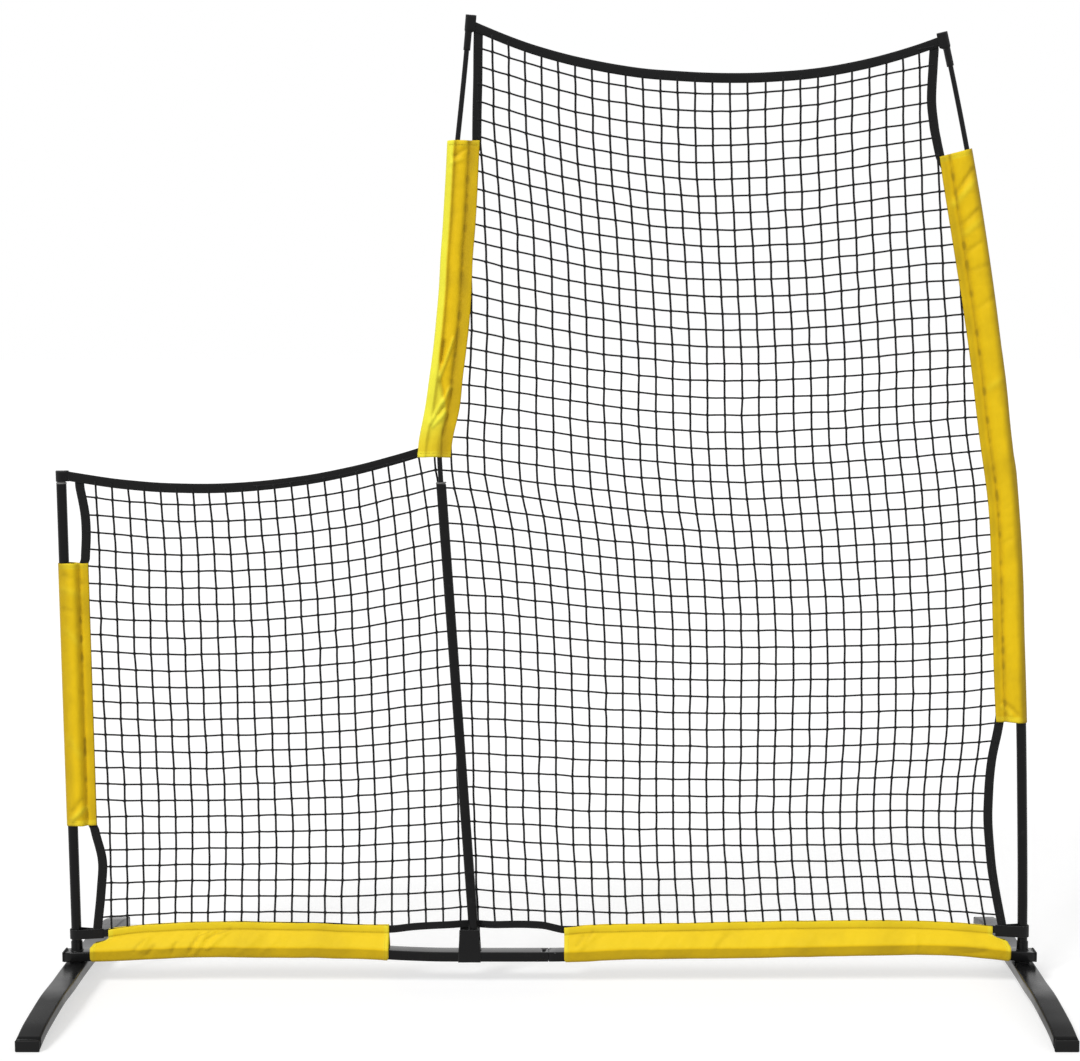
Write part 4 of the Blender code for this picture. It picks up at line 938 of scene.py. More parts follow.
def makePlug():
    top, high, low = lineSet["poleTop"], plugSet["pegTop"], -plugSet["depth"]
    outer, rim, ledge = plugSet["inside"], plugSet["rim"], plugSet["rimTop"]
    peg, edge = plugSet["peg"], plugSet["edge"]
    profile = [(0, high), (peg - edge, high), (peg, high - edge), (peg, ledge),
               (rim - edge, ledge), (rim, ledge - edge), (rim, fitGap + edge),
               (rim - edge, fitGap), (outer, fitGap), (outer, low), (0, low)]
    place = (Matrix.Translation((leftLine(top), 0, top))
             @ Matrix.Rotation(lineTilt(leftLine, top), 4, "Y"))
    finishPiece("polePlug", turnForm(profile, place=place), "grey_plastic", ("pole_plug_left",))


def makeRod(side, tip):
    line, radius = lines[side], rodSet["radius"]
    low = lineSet["poleTop"] - 0.0458
    capTop = tip - rodSet["pocketWall"] - fitGap
    high = capTop - rodSet["tipWall"] - fitGap
    profile = ([(0, low), (radius - 0.0006, low)]
               + [(radius, z) for z in heights(low + 0.0006, high - 0.0006, 0.016)]
               + [(radius - 0.0006, high), (0, high)])
    finishPiece("rod" + side.title(), turnForm(profile, line, rodSet["sides"]), "black_rod",
                ("rod_" + side,))
    inner = radius + fitGap
    outer = inner + rodSet["tipWall"]
    low = capTop - rodSet["tipLength"]
    profile = [(0, capTop), (outer - 0.001, capTop), (outer, capTop - 0.001), (outer, low),
               (inner, low), (inner, high + 0.0002), (0, high + 0.0002)]
    finishPiece("rodTip" + side.title(), turnForm(profile, line, rodSet["sides"]),
                "black_plastic", ("rod_tip_" + side,))


for side, step in (("left", 0.25), ("mid", 0.25), ("right", 0.05)):
    makePole(side, step)
makePlug()
makeRodSocket("mid")
makeRodSocket("right")
makeRod("mid", lineSet["midTip"])
makeRod("right", lineSet["rightTip"])
print("uprights made")


# Rectangular tube round the origin, open at both ends and cut into sections along one axis
def openTube(size, axis, rounding, segments, sections):
    form = bmesh.new()
    bmesh.ops.create_cube(form, size=1)
    bmesh.ops.scale(form, vec=size, verts=form.verts)

    def lengthwise():
        return [edge for edge in form.edges
                if abs(edge.verts[0].co[axis] - edge.verts[1].co[axis]) > 0.1]

    bmesh.ops.bevel(form, geom=lengthwise(), offset=rounding, offset_type="OFFSET",
                    segments=segments, profile=0.5, affect="EDGES", material=-1)
    ends = [face for face in form.faces if abs(face.normal[axis]) > 0.99]
    bmesh.ops.delete(form, geom=ends, context="FACES")
    bmesh.ops.subdivide_edges(form, edges=lengthwise(), cuts=sections - 1, use_grid_fill=True)
    return form


# Feet

footSet = {"length": 0.8734, "width": 0.050, "height": 0.0235, "top": 0.052, "drop": 0.0275,
           "wall": 0.0018, "rounding": 0.0042, "sections": 64, "arch": 0.0060,
           "archOver": (0.26, 0.56, 0.84, 1.04),   # shares of the way from the middle to an end
           "spacer": (0.0043, 0.016), "cap": (0.0502, 0.0058, 0.0246), "capRounding": 0.0026}


def makeFoot(side, sign):
    form = openTube((footSet["width"], footSet["length"], footSet["height"]), 1,
                    footSet["rounding"], 6, footSet["sections"])
    half = footSet["length"] / 2
    for vert in form.verts:
        vert.co.x += sign * lineSet["halfSpan"]
        share = abs(vert.co.y) / half
        vert.co.z += (footSet["top"] - footSet["height"] / 2 - footSet["drop"] * share ** 2
                      + footSet["arch"] * easeOver(share, *footSet["archOver"]))
    foot = finishPiece("foot" + side.title(), form, "black_steel", ("foot_" + side,),
                       "foot_{}_turning".format(side), finish=footFinish)
    thicken(foot, footSet["wall"], -1)
    for way, end in (("Front", -1), ("Rear", 1)):
        form = bmesh.new()
        bmesh.ops.create_cube(form, size=1)
        bmesh.ops.scale(form, vec=footSet["cap"], verts=form.verts)
        bmesh.ops.bevel(form, geom=form.edges[:], offset=footSet["capRounding"],
                        offset_type="OFFSET", segments=5, profile=0.5, affect="EDGES", material=-1)
        for vert in form.verts:
            vert.co += Vector((sign * lineSet["halfSpan"],
                               end * (half + footSet["cap"][1] / 2 + 0.0001),
                               footSet["cap"][2] / 2))
        finishPiece("footCap{}{}".format(side.title(), way), form, "black_plastic",
                    ("foot_cap_{}_{}".format(side, way.lower()),),
                    "foot_{}_turning".format(side))
    inner, outer = footSet["spacer"]
    low, high, edge = footSet["top"] + fitGap, lineSet["tubeBottom"] - fitGap, 0.0006
    profile = [(inner, low), (outer - edge, low), (outer, low + edge), (outer, high - edge),
               (outer - edge, high), (inner, high)]
    form = turnForm(profile, closed=True,
                    place=Matrix.Translation((sign * lineSet["halfSpan"], 0, 0)))
    finishPiece("footSpacer" + side.title(), form, "black_plastic", ("foot_spacer_" + side,))


makeFoot("left", -1)
makeFoot("right", 1)
print("feet made")


# Sleeves: coated cloth, loose round an upright or the base tube and closed over the webbing by a
# flat flange. A section runs from the outer edge, 0, to the net's edge, 1, as depths of its front
# and back plies; folds run between two points of the front and stand out by a height.
# Each sleeve's lemon and olive lists paint light and shade across its section: olive is painted
# shade on edges that turn from the light, in the crease and on the flange beside it, and lemon is
# painted light on the mid sleeve's left strip
sleeveSet = {
    "cloth": 0.0012, "step": 0.0036, "columns": 92, "hem": 0.0110, "stitch": 0.0044,
    "stitchHalf": 0.0013, "stitchRadius": 0.00034,
    "left": {
        "low": 0.3630, "high": 0.9492, "seed": 3.0, "crease": 0.705, "pucker": 0.0016,
        "front": ((0, 0), (0.03, 0.0064), (0.10, 0.0104), (0.22, 0.0138), (0.36, 0.0158),
                  (0.50, 0.0160), (0.59, 0.0128), (0.66, 0.0062), (0.705, 0.0024), (0.76, 0.0036),
                  (0.87, 0.0042), (0.96, 0.0035), (1, 0.0021)),
        "back": ((0, 0), (0.03, 0.0068), (0.12, 0.0116), (0.25, 0.0142), (0.40, 0.0138),
                 (0.55, 0.0100), (0.66, 0.0045), (0.72, 0.0025), (0.86, 0.0029), (1, 0.0021)),
        "lemon": ((0, 0), (1, 0)),
        "olive": ((0, 0.70), (0.12, 0.55), (0.26, 0.34), (0.42, 0.04), (0.60, 0), (0.69, 0.42),
                  (0.78, 0.20), (0.88, 0.34), (1, 0.30)),
        "folds": (((-1.062, 0.925, -1.026, 0.905), -0.0014, 0.007),
                  ((-1.066, 0.893, -1.028, 0.880), 0.0012, 0.009),
                  ((-1.064, 0.851, -1.030, 0.838), -0.0013, 0.007),
                  ((-1.058, 0.800, -1.030, 0.770), 0.0012, 0.008),
                  ((-1.060, 0.560, -1.034, 0.520), 0.0010, 0.008),
                  ((-1.056, 0.378, -1.030, 0.402), 0.0028, 0.006),
                  ((-1.054, 0.398, -1.034, 0.424), -0.0016, 0.005)),
    },
    "mid": {
        "low": 1.1816, "high": 1.8635, "seed": 5.0, "crease": 0.69, "pucker": 0.0010,
        "front": ((0, 0), (0.02, 0.0050), (0.08, 0.0094), (0.15, 0.0126), (0.200, 0.0138),
                  (0.235, 0.0130), (0.28, 0.0106), (0.34, 0.0098), (0.46, 0.0104), (0.57, 0.0092),
                  (0.64, 0.0056), (0.69, 0.0021), (0.74, 0.0027), (0.86, 0.0046), (0.96, 0.0040),
                  (1, 0.0022)),
        "back": ((0, 0), (0.02, 0.0046), (0.10, 0.0090), (0.25, 0.0108), (0.45, 0.0100),
                 (0.60, 0.0068), (0.70, 0.0025), (0.85, 0.0029), (1, 0.0021)),
        "lemon": ((0, 1), (0.17, 0.95), (0.24, 0), (1, 0)),
        "olive": ((0, 0), (0.20, 0), (0.245, 0.38), (0.33, 0.18), (0.42, 0), (0.58, 0.05),
                  (0.68, 0.70), (0.78, 0.60), (0.90, 0.40), (1, 0.10)),
        "folds": (((-0.2361, 1.3588, -0.2066, 1.4390), 0.0036, 0.0042),
                  ((-0.2570, 1.2558, -0.2129, 1.3352), 0.0040, 0.0044),
                  ((-0.2525, 1.2491, -0.2234, 1.2810), 0.0026, 0.0040),
                  ((-0.2270, 1.4330, -0.2327, 1.3899), -0.0030, 0.0045),
                  ((-0.2345, 1.3453, -0.2280, 1.3139), -0.0034, 0.0050),
                  ((-0.2310, 1.2927, -0.2432, 1.2743), -0.0028, 0.0045),
                  ((-0.2028, 1.8296, -0.1791, 1.8444), -0.0022, 0.0042),
                  ((-0.2071, 1.8148, -0.1860, 1.8233), 0.0020, 0.0046)),
    },
    "right": {
        "low": 0.5955, "high": 1.8290, "seed": 8.0, "crease": 0.695, "pucker": 0.0022,
        "front": ((0, 0), (0.03, 0.0074), (0.10, 0.0124), (0.22, 0.0156), (0.34, 0.0162),
                  (0.48, 0.0148), (0.58, 0.0108), (0.64, 0.0062), (0.695, 0.0024), (0.75, 0.0033),
                  (0.87, 0.0042), (0.96, 0.0034), (1, 0.0021)),
        "back": ((0, 0), (0.03, 0.0070), (0.12, 0.0118), (0.25, 0.0142), (0.40, 0.0136),
                 (0.55, 0.0098), (0.66, 0.0045), (0.72, 0.0025), (0.86, 0.0029), (1, 0.0021)),
        "lemon": ((0, 0), (1, 0)),
        "olive": ((0, 1), (0.08, 0.85), (0.16, 0.42), (0.26, 0.10), (0.36, 0), (0.60, 0),
                  (0.69, 0.50), (0.78, 0.26), (0.88, 0.50), (1, 0.40)),
        "folds": (((0.8774, 1.7467, 0.9080, 1.7860), -0.0026, 0.0055),
                  ((0.8740, 1.7250, 0.9120, 1.7600), 0.0022, 0.0080),
                  ((0.8939, 1.6816, 0.9213, 1.7016), -0.0022, 0.0055),
                  ((0.8960, 1.6600, 0.9260, 1.6760), 0.0016, 0.0080),
                  ((0.9052, 1.6238, 0.9304, 1.6340), -0.0016, 0.0060),
                  ((0.9084, 1.5808, 0.9440, 1.5859), -0.0013, 0.0060),
                  ((0.9270, 1.5000, 0.9600, 1.5180), -0.0012, 0.0070),
                  ((0.9560, 1.3300, 0.9840, 1.3450), 0.0012, 0.0080),
                  ((0.9850, 0.9900, 1.0100, 1.0000), -0.0010, 0.0050),
                  ((1.0045, 0.6426, 1.0328, 0.6145), -0.0020, 0.0045),
                  ((1.0000, 0.6300, 1.0180, 0.6120), 0.0016, 0.0045)),
    },
}


# Points at even steps along a polyline, and its length
def evenSpots(points, count):
    lengths = [0]
    for one, two in zip(points, points[1:]):
        lengths.append(lengths[-1] + math.dist(one, two))
    spots, i = [], 0
    for step in range(count + 1):
        at = lengths[-1] * step / count
        while i < len(points) - 2 and lengths[i + 1] < at:
            i += 1
        share = (at - lengths[i]) / max(lengths[i + 1] - lengths[i], 1e-9)
        spots.append(tuple(mix(a, b, share) for a, b in zip(points[i], points[i + 1])))
    return spots, lengths[-1]


def foldLift(folds, x, z):
    total = 0
    for (startX, startZ, endX, endZ), height, width in folds:
        runX, runZ = endX - startX, endZ - startZ
        share = ((x - startX) * runX + (z - startZ) * runZ) / (runX ** 2 + runZ ** 2)
        held = min(max(share, 0), 1)
        away = math.hypot(x - startX - runX * held, z - startZ - runZ * held) / width
        total += height * math.exp(-away * away)
    return total


# Where the seam beside a flange is drawn in, from about -1 to 1
def dashes(seed, z):
    return noise.noise(Vector((z * 48, seed, 2))) * 1.6 + noise.noise(Vector((z * 14, seed, 6)))


def clothDepth(facts, across, x, z, ahead):
    seed, crease = facts["seed"] + 20 * ahead, facts["crease"]
    depth = readCurve(facts["front" if ahead else "back"], across)
    loose = min(across / 0.1, 1) * (1 - easeShare(across, crease - 0.12, crease))
    depth += loose * (0.0016 * noise.noise(Vector((across * 2 + z * 7, z * 20, seed)))
                      + 0.0006 * noise.noise(Vector((across * 3 + z * 20, z * 70, seed))))
    if ahead:
        depth += 1.25 * foldLift(facts["folds"], x, z) * min(across / 0.06, (1 - across) / 0.04, 1)
    away = (across - crease) / 0.05
    depth -= math.exp(-away * away) * facts["pucker"] * max(0.3 + dashes(facts["seed"], z), 0)
    away = (across - crease) / (0.10 if across > crease else 0.16)
    depth += math.exp(-away * away) * 0.0013 * noise.noise(Vector((z * 85 + across * 5, seed, 5)))
    ends = min(z - facts["low"], facts["high"] - z)
    if across > 0.02:
        depth += 0.0007 * (1 - easeShare(ends, sleeveSet["hem"] - 0.001, sleeveSet["hem"] + 0.001))
        away = (ends - sleeveSet["hem"]) / 0.0016
        depth -= 0.0008 * math.exp(-away * away)
    return depth


# Stitches lie along a sheet at one share across, or along its row at one share along
def sewStitches(name, place, tracks):
    form = bmesh.new()
    half, radius = sleeveSet["stitchHalf"], sleeveSet["stitchRadius"]
    profile = ((0, -half), (radius * 0.8, -half * 0.8), (radius, 0), (radius * 0.8, half * 0.8),
               (0, half))
    verts = [form.verts.new((width, 0, at)) for width, at in profile]
    edges = [form.edges.new(pair) for pair in zip(verts, verts[1:])]
    bmesh.ops.spin(form, geom=verts + edges, cent=(0, 0, 0), axis=(0, 0, 1), angle=math.tau,
                   steps=6, use_merge=True)
    bmesh.ops.remove_doubles(form, verts=form.verts, dist=0.000001)
    bmesh.ops.recalc_face_normals(form, faces=form.faces)
    stitch = bpy.data.meshes.new("stitch")
    form.to_mesh(stitch)
    form.free()
    places = []
    for start, end, length in tracks:
        count = max(round(length / sleeveSet["stitch"]), 2)
        for i in range(count):
            shares = [tuple(mix(a, b, (i + part) / count) for a, b in zip(start, end))
                      for part in (0.3, 0.5, 0.7)]
            one, middle, two = [place(*share) for share in shares]
            turn = (two - one).to_track_quat("Z", "Y").to_matrix().to_4x4()
            places.append(Matrix.Translation(middle + Vector((0, -0.0008, 0))) @ turn)
    return joinCopies(name, stitch, places, "yellow_cloth", threadFinish)


def makeUprightSleeve(side, netEdge, outerEdge, line, coreRadius, slant=0):
    facts = sleeveSet[side]
    low, high = facts["low"], facts["high"]
    length = high - low
    columns, rows = sleeveSet["columns"], round(length / sleeveSet["step"])
    table = {}

    def section(z):
        edge, outer = netEdge(z), outerEdge(z)
        front, back = [], []
        count = 84
        for i in range(count + 1):
            across = (1 - math.cos(math.pi * i / count)) / 2
            x = mix(outer, edge, across)
            for points, ahead in ((front, True), (back, False)):
                depth = clothDepth(facts, across, x, z, ahead)
                core = coreRadius(z) + 0.0013
                off = x - line(z)
                if abs(off) < core:
                    depth = max(depth, math.sqrt(core * core - off * off))
                depth = max(depth, 0.0019) if i else 0
                points.append((x, -depth if ahead else depth, across))
        return evenSpots(list(reversed(front)) + back[1:], columns)[0]

    def place(across, along):
        row = round(along * rows)
        if row not in table:
            table[row] = section(mix(low, high, row / rows))
        x, y, _ = table[row][round(across * columns)]
        z = mix(low, high, along)
        z += slant * (x - netEdge(z)) / (outerEdge(z) - netEdge(z)) * along
        z += noise.noise(Vector((x * 30, y * 30, facts["seed"]))) * 0.0012
        return Vector((x, y, z))

    # Painted light and shade for the tint attribute: lemon paints light on the mid sleeve's left
    # strip, wider low down, and on fold ridges; olive paints shade on edges that turn from the
    # light, in the crease, on the flange, in fold valleys and in the seam's puckers; random olive
    # tone is added and the hems are made lighter
    def tint(across, along):
        x, y, share = table[round(along * rows)][round(across * columns)]
        z = mix(low, high, along)
        widen = 0.55 * (1 - easeShare(z, 1.22, 1.42)) if side == "mid" else 0
        lemon = readCurve(facts["lemon"], max(share - widen, 0))
        olive = readCurve(facts["olive"], share)
        if side == "mid":
            lemon *= mix(1, 0.6, easeShare(share, 0.1, 0.6) * (widen > 0))
            lemon *= mix(0.4, 1, easeShare(z, 1.20, 1.27))
            olive *= 1 - 0.8 * (1 - easeShare(z, 1.24, 1.38)) * (share < 0.45)
        # Painted shade: a darker outer edge low on the right sleeve
        if side == "right":
            olive += 0.42 * (1 - easeShare(share, 0.14, 0.36)) * (1 - easeShare(z, 1.05, 1.45))
        # Painted shade in fold valleys and in the puckers along the crease, painted highlight on
        # fold ridges
        if y < 0:
            lift = foldLift(facts["folds"], x, z)
            olive += max(-lift, 0) / 0.003 * 0.5
            lemon += max(lift, 0) / 0.003 * 0.35
            away = (share - facts["crease"]) / 0.045
            olive += math.exp(-away * away) * max(dashes(facts["seed"], z), 0) * 1.1
        olive += 0.22 * noise.noise(Vector((share * 3, z * 22, facts["seed"]))) * (share > 0.2)
        lemon += 0.3 * (min(z - low, high - z) < sleeveSet["hem"])
        return min(max(lemon, 0), 1), min(max(olive, 0), 1)

    girth = 2 * abs(netEdge(low) - outerEdge(low)) + 0.012
    form = sheetForm(columns, rows, place, girth, length, tint)
    sleeve = finishPiece("sleeve" + side.title(), form, "yellow_cloth", ("sleeve_" + side,),
                         angle=70)
    thicken(sleeve, sleeveSet["cloth"])
    seam = (1 - facts["crease"]) / 2 - 0.012
    stitches = sewStitches("sleeveStitches" + side.title(), place,
                           (((seam, 0.01), (seam, 0.99), length),
                            ((0.03, 0.009 / length), (0.47, 0.009 / length), 0.08),
                            ((0.03, 1 - 0.009 / length), (0.47, 1 - 0.009 / length), 0.08)))


def makeUprightSleeves():
    def poleCore(z):
        return poleSet["radius"]

    def taperCore(z):
        return mix(poleSet["radius"], rodSet["radius"],
                   easeShare(z, lineSet["poleTop"] + 0.01, lineSet["poleTop"] + 0.10))

    def rightOuter(z):
        return max(sleeveEdge("rightOuter", z), rightLine(z) + taperCore(z) + 0.0016)

    makeUprightSleeve("left", lambda z: leftLine(z) + leftSleeve["net"],
                      lambda z: leftLine(z) - leftSleeve["outer"], leftLine, poleCore)
    makeUprightSleeve("mid", lambda z: sleeveEdge("midNet", z),
                      lambda z: sleeveEdge("midOuter", z), midLine,
                      lambda z: rodSet["radius"])
    makeUprightSleeve("right", lambda z: sleeveEdge("rightNet", z), rightOuter,
                      rightLine, taperCore, 0.018)


makeUprightSleeves()
print("upright sleeves made")


# Base sleeves, and the base tubes that bow up a little between the feet

baseSet = {
    "front": ((0.0034, 0.1388), (0.0046, 0.1335), (0.0047, 0.1250), (0.0036, 0.1222),
              (0.0058, 0.1165), (0.0112, 0.1060), (0.0168, 0.0940), (0.0216, 0.0840),
              (0.0235, 0.0795), (0.0233, 0.0745), (0.0224, 0.0640), (0.0214, 0.0585),
              (0.0188, 0.0548), (0.0120, 0.0541), (0.0, 0.0540)),
    "left": {"ends": (-1.0235, -0.3585), "inset": (0.033, 0.0), "seed": 11.0,
             "top": ((-1.0235, -0.003), (-0.95, 0), (-0.70, 0), (-0.60, -0.0014), (-0.45, -0.0010),
                     (-0.3585, 0.001)),
             "folds": (((-0.7907, 0.0762, -0.7677, 0.1163), 0.0030, 0.0046),
                       ((-0.8019, 0.0762, -0.7818, 0.1163), -0.0026, 0.0044),
                       ((-0.7627, 0.0877, -0.7148, 0.1249), 0.0030, 0.0048),
                       ((-0.7653, 0.1019, -0.7342, 0.1249), -0.0024, 0.0044),
                       ((-0.9133, 0.0820, -0.8960, 0.1076), 0.0024, 0.0050),
                       ((-0.9250, 0.0800, -0.9060, 0.1040), -0.0020, 0.0044),
                       ((-0.8968, 0.0705, -0.8824, 0.0877), -0.0022, 0.0050),
                       ((-0.8410, 0.0733, -0.8350, 0.0934), -0.0022, 0.0048),
                       ((-0.6900, 0.0800, -0.6500, 0.1120), 0.0018, 0.0060),
                       ((-0.6400, 0.0800, -0.6050, 0.1100), 0.0014, 0.0060),
                       ((-0.8600, 0.0850, -0.8250, 0.1150), 0.0016, 0.0070))},
    "right": {"ends": (0.0325, 1.0273), "inset": (0.0, 0.033), "seed": 13.0,
              "top": ((0.0325, -0.003), (0.10, 0.002), (0.35, 0.0016), (0.50, 0.0006),
                      (0.85, 0.0012), (0.95, 0), (1.0273, -0.003)),
              "folds": (((0.0656, 0.0847, 0.1123, 0.1231), 0.0024, 0.0050),
                        ((0.0810, 0.0980, 0.0990, 0.1254), -0.0020, 0.0044),
                        ((0.0611, 0.0934, 0.0767, 0.1163), -0.0018, 0.0042),
                        ((0.8166, 0.0700, 0.8159, 0.1163), 0.0018, 0.0030),
                        ((0.8930, 0.0705, 0.9708, 0.0797), -0.0018, 0.0050),
                        ((0.2300, 0.0860, 0.2600, 0.1120), 0.0014, 0.0060),
                        ((0.3700, 0.0860, 0.4000, 0.1140), -0.0012, 0.0060),
                        ((0.5600, 0.0860, 0.5900, 0.1140), 0.0012, 0.0070))},
    "columns": 100, "step": 0.0045, "tubeSections": 60, "tubeRounding": 0.003,
    "tubeWall": 0.0015, "tubeEnd": 1.0825, "tubeJoint": (-0.0028, -0.0012), "buttonX": -0.0125,
    "buttonHole": 0.0043, "drillDepth": 0.012,
}
tubeBow = ((-1.0825, -0.0012), (-1.057, -0.0004), (-1.014, 0.0016), (-0.916, 0.0056),
           (-0.867, 0.0086), (-0.818, 0.0106), (-0.769, 0.0118), (-0.720, 0.0120),
           (-0.670, 0.0112), (-0.573, 0.0106), (-0.475, 0.0094), (-0.376, 0.0060),
           (-0.345, 0.0040), (-0.290, 0.0016), (-0.245, 0.0003), (-0.200, 0), (0.010, 0),
           (0.035, 0.0006), (0.086, 0.0018), (0.118, 0.0044), (0.153, 0.0060), (0.211, 0.0072),
           (0.269, 0.0080), (0.327, 0.0088), (0.385, 0.0093), (0.443, 0.0100), (0.501, 0.0112),
           (0.559, 0.0124), (0.617, 0.0138), (0.675, 0.0148), (0.733, 0.0158), (0.791, 0.0168),
           (0.849, 0.0172), (0.907, 0.0148), (0.965, 0.0098), (1.021, 0.0038), (1.057, 0.0006),
           (1.0825, -0.0004))


def makeBaseSleeve(side):
    facts = baseSet[side]
    (low, high), inset = facts["ends"], facts["inset"]
    length = high - low
    columns, rows = baseSet["columns"], round(length / baseSet["step"])
    front = baseSet["front"]
    points = [(-depth, z) for depth, z in front]
    points += [(depth * 0.97, z) for depth, z in reversed(front[:-1])]
    spots, girth = evenSpots(points, columns)

    def place(across, along):
        y, z = spots[round(across * columns)]
        flat = y, z
        lower = 0 if y < 0 else 0.0075
        drawn = easeShare(z + lower, 0.1060, 0.1205) + 0.16 * easeShare(z + lower, 0.086, 0.106)
        x = mix(low, high, along) + drawn * mix(inset[0], -inset[1], along)
        corner = max(1 - (z - 0.0540) / 0.008, 0) * (abs(along - 0.5) * 2) ** 40
        x += (1 if along < 0.5 else -1) * 0.004 * corner
        ends = min(mix(low, high, along) - low, high - mix(low, high, along))
        upper = min(max((z - 0.085) / 0.03, 0), 1)
        rise = bottomBorder(x) + 0.0099 - 0.1400 + readCurve(facts["top"], x)
        bow = readCurve(tubeBow, x)
        z += rise * upper + bow * (1 - easeShare(z, 0.077, 0.121))
        ahead = y < 0
        sign = -1 if ahead else 1
        roll = easeOver(flat[1], 0.0545, 0.066, 0.112, 0.121)
        lean = x - (z - 0.09) * 0.55
        wave = (noise.noise(Vector((lean * 24, z * 6, facts["seed"] + ahead))) * 0.0013
                + noise.noise(Vector((lean * 70, z * 14, facts["seed"] + ahead))) * 0.0008)
        lift = foldLift(facts["folds"], x, z) if ahead else 0
        y += sign * roll * (wave + lift)
        crimp = math.exp(-((flat[1] - 0.1225) / 0.004) ** 2)
        y -= sign * crimp * 0.0007 * (0.5 + noise.noise(Vector((x * 60, ahead, facts["seed"]))))
        if ends < sleeveSet["hem"]:
            y += sign * 0.0006
        z += noise.noise(Vector((x * 18, ahead, facts["seed"]))) * 0.0009
        return Vector((x, y, z))

    # Painted light and shade for the tint attribute: olive paints shade under the roll and in the
    # crease where the flange meets it, the flange is shifted slightly as painted shade for its
    # upright face, lemon paints light on the roll's upward faces, fold valleys get painted shade,
    # and the hems are made lighter
    def tint(across, along):
        y, z = spots[round(across * columns)]
        x = mix(low, high, along)
        under = 1 - easeShare(z, 0.0765, 0.0800)
        flange = easeShare(z, 0.1195, 0.1235)
        olive = 0.55 * under + 0.06 * flange
        olive += 0.3 * math.exp(-((z - 0.1225) / 0.0022) ** 2)
        lemon = 0.14 * (1 - under) * easeShare(z, 0.079, 0.085) + 0.10 * flange
        if y < 0:
            olive += max(-foldLift(facts["folds"], x, z), 0) / 0.003 * 0.4
        lemon += 0.25 * (min(x - low, high - x) < sleeveSet["hem"])
        return lemon, min(max(olive, 0), 1)

    form = sheetForm(columns, rows, place, girth, length, tint)
    sleeve = finishPiece("sleeveBase" + side.title(), form, "yellow_cloth",
                         ("sleeve_base_" + side,), angle=70)
    thicken(sleeve, sleeveSet["cloth"])
    stitches = sewStitches("sleeveStitchesBase" + side.title(), place,
                           (((0.072, 0.01), (0.072, 0.99), length),
                            ((0.10, 0.009 / length), (0.44, 0.009 / length), 0.08),
                            ((0.10, 1 - 0.009 / length), (0.44, 1 - 0.009 / length), 0.08)))


# A hole through the top wall for the snap button
def drillTop(tube, x, radius):
    form = bmesh.new()
    bmesh.ops.create_cone(form, cap_ends=True, segments=32, radius1=radius, radius2=radius,
                          depth=baseSet["drillDepth"],
                          matrix=Matrix.Translation((x, 0, lineSet["tubeTop"])))
    drill = bpy.data.objects.new("drill", bpy.data.meshes.new("drill"))
    form.to_mesh(drill.data)
    form.free()
    scene.collection.objects.link(drill)
    cut = tube.modifiers.new("hole", "BOOLEAN")
    cut.operation, cut.solver, cut.object = "DIFFERENCE", "EXACT", drill
    bpy.context.view_layer.update()
    solid = tube.evaluated_get(bpy.context.evaluated_depsgraph_get())
    drilled = bpy.data.meshes.new_from_object(solid)
    tube.modifiers.clear()
    tube.data = drilled
    bpy.data.objects.remove(drill)


# Half of the base tube, laid between two points in X and bowed up
def makeBaseTube(side, start, end):
    form = openTube((end - start, lineSet["tubeDepth"], lineSet["tubeTop"] - lineSet["tubeBottom"]),
                    0, baseSet["tubeRounding"], 5, baseSet["tubeSections"])
    for vert in form.verts:
        vert.co.x += (start + end) / 2
        vert.co.z += (lineSet["tubeTop"] + lineSet["tubeBottom"]) / 2 + readCurve(tubeBow,
                                                                                   vert.co.x)
    tube = finishPiece("baseTube" + side.title(), form, "black_steel", ("base_tube_" + side,),
                       finish=tubeFinish)
    thicken(tube, baseSet["tubeWall"], -1)
    if side == "left":
        drillTop(tube, baseSet["buttonX"], baseSet["buttonHole"])


makeBaseTube("left", -baseSet["tubeEnd"], baseSet["tubeJoint"][0])
makeBaseTube("right", baseSet["tubeJoint"][1], baseSet["tubeEnd"])
makeBaseSleeve("left")
makeBaseSleeve("right")
print("base sleeves and tubes made")

strapSet = {"low": {"left": 0.1050, "right": 0.1095}, "width": {"left": 0.0210, "right": 0.0250},
            "reach": 0.0605, "cloth": 0.0014, "columns": 60}
tabSet = {"x": -0.1788, "width": 0.050, "topWidth": 0.0445, "top": 0.1275, "front": 0.0158,
          "back": 0.0153, "cloth": 0.0014, "columns": 80, "rows": 14}
pocketSet = {"mid": (0.074, (0.0066, 0.0080), (0.0070, 0.0142), 0.034),
             "right": (0.0715, (0.0066, 0.0080), (0.0070, 0.0142), 0.032),
             "left": (0.0235, (0.0111, 0.0111), (0.0165, 0.0165), 0.010)}


# One ply round a rod or pole: from its closed edge to the far side
def wrapHalf(radius, reach, gap, count=20):
    distance = math.hypot(reach, gap)
    start = math.atan2(gap, reach) + math.acos(radius / distance)
    points = [(reach, gap)]
    for i in range(count + 1):
        angle = mix(start, math.pi, i / count)
        points.append((radius * math.cos(angle), radius * math.sin(angle)))
    return points


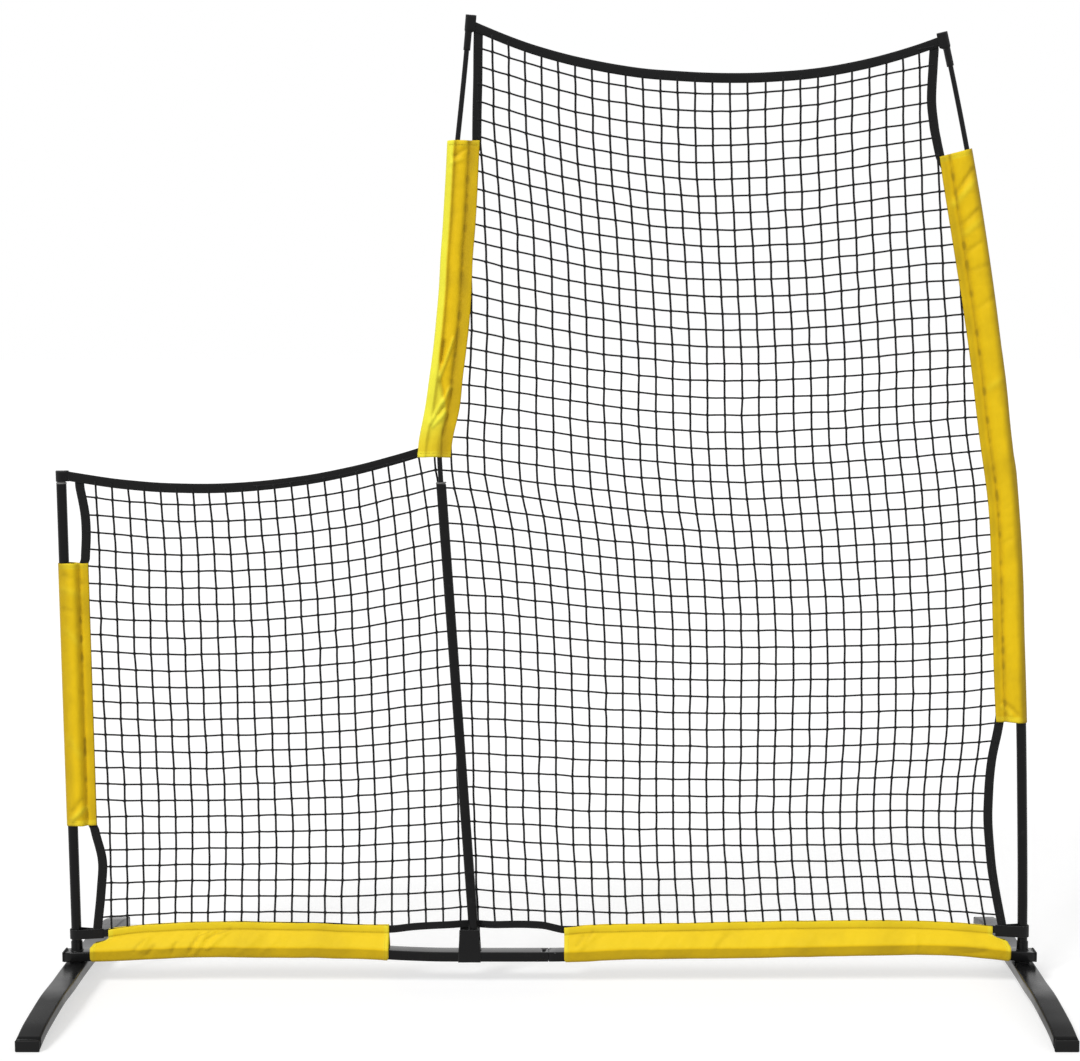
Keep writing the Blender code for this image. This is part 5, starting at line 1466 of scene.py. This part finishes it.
# A strap round an upright whose plies close on the net's side. Its radius and reach widen over a
# length below its top, pinch closes the top, and a leaning one is cut square to its line
def makeWrap(name, node, line, sign, low, high, radii, reaches, wide, cloth, columns, pinch=0,
             seed=0):
    length = high - low
    rows = max(round(length / 0.002), 4)
    ply = wrapHalf(radii[1], reaches[1], 0.0008)
    girth = evenSpots(ply + [(x, -y) for x, y in reversed(ply[:-1])], columns)[1]
    middle = (low + high) / 2
    lean = (line(middle + 0.01) - line(middle - 0.01)) / 0.02 if pinch else 0
    table = {}

    def section(row):
        z = mix(low, high, row / rows)
        share = easeShare(z, high - wide - 0.002, high - wide + 0.002)
        half = wrapHalf(mix(*radii, share), mix(*reaches, share), 0.0008)
        return evenSpots(half + [(x, -y) for x, y in reversed(half[:-1])], columns)[0]

    def place(across, along):
        row = round(along * rows)
        if row not in table:
            table[row] = section(row)
        z = mix(low, high, along)
        close = 1
        if pinch and z > high - pinch:
            close = math.sqrt(max(1 - ((z - high + pinch) / pinch) ** 2, 0.0001))
        out, y = table[row][round(across * columns)]
        wave = noise.noise(Vector((across * 5, z * 40, seed))) * 0.0004
        return Vector((line(z) + sign * out, y * close, z + wave - lean * sign * out))

    wrap = finishPiece(name, sheetForm(columns, rows, place, girth, length), "black_webbing",
                       (node,), angle=60)
    thicken(wrap, cloth)
    return wrap


def makeStraps():
    for side, sign in (("left", 1), ("right", -1)):
        low = strapSet["low"][side]
        makeWrap("cornerStrap" + side.title(), "corner_strap_" + side, lines[side], sign, low,
                 low + strapSet["width"][side], (poleSet["radius"] + 0.0027,) * 2,
                 (strapSet["reach"],) * 2, 0, strapSet["cloth"], strapSet["columns"], seed=sign)
    for side, (length, radii, reaches, wide) in pocketSet.items():
        tip = lineSet[side + "Tip"]
        makeWrap("pocket" + side.title(), "pocket_" + side, lines[side],
                 -1 if side == "right" else 1, tip - length, tip, radii, reaches,
                 wide, rodSet["pocketWall"], 40, pinch=0.004, seed=len(side))


def makeTab():
    front, back, top = tabSet["front"], tabSet["back"], tabSet["top"]
    points = [(-front, top), (-front, 0.104), (-0.0188, 0.0800), (-0.0202, 0.0762),
              (-0.0202, 0.0575), (-0.0186, 0.0550), (0, 0.0546), (0.0186, 0.0550),
              (0.0202, 0.0575), (0.0202, 0.0762), (0.0188, 0.0800), (back, 0.104), (back, top)]
    columns = tabSet["columns"]
    spots, girth = evenSpots(points, columns)
    narrow = (tabSet["width"] - tabSet["topWidth"]) / 2

    def place(across, along):
        y, z = spots[round(across * columns)]
        drawn = easeShare(z, 0.056, top)
        x = tabSet["x"] + (along - 0.5) * (tabSet["width"] - 2 * narrow * drawn)
        y += noise.noise(Vector((x * 60, z * 60, 2.0))) * 0.0006
        return Vector((x, y, z))

    form = sheetForm(columns, tabSet["rows"], place, girth, tabSet["width"])
    tab = finishPiece("centreTab", form, "black_webbing", ("centre_tab",), angle=60)
    thicken(tab, tabSet["cloth"])


makeStraps()
makeTab()
print("straps and pockets made")


# Frame pieces whose shape stays; the button is a darker metal than its slot

keptFinishes = {
    "black_steel": ("base_coupler",),
    "black_plastic": ("base_end_cap_left", "base_end_cap_right"),
    "zinc_steel": ("snap_button", "foot_bolt_left", "foot_bolt_right", "foot_washer_left",
                   "foot_washer_right", "foot_nut_left", "foot_nut_right"),
    "spring_steel": ("button_spring",),
}
for slot, names in keptFinishes.items():
    for name in names:
        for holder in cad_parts[name].material_slots:
            holder.material = darkZinc if name == "snap_button" else finishes[slot]
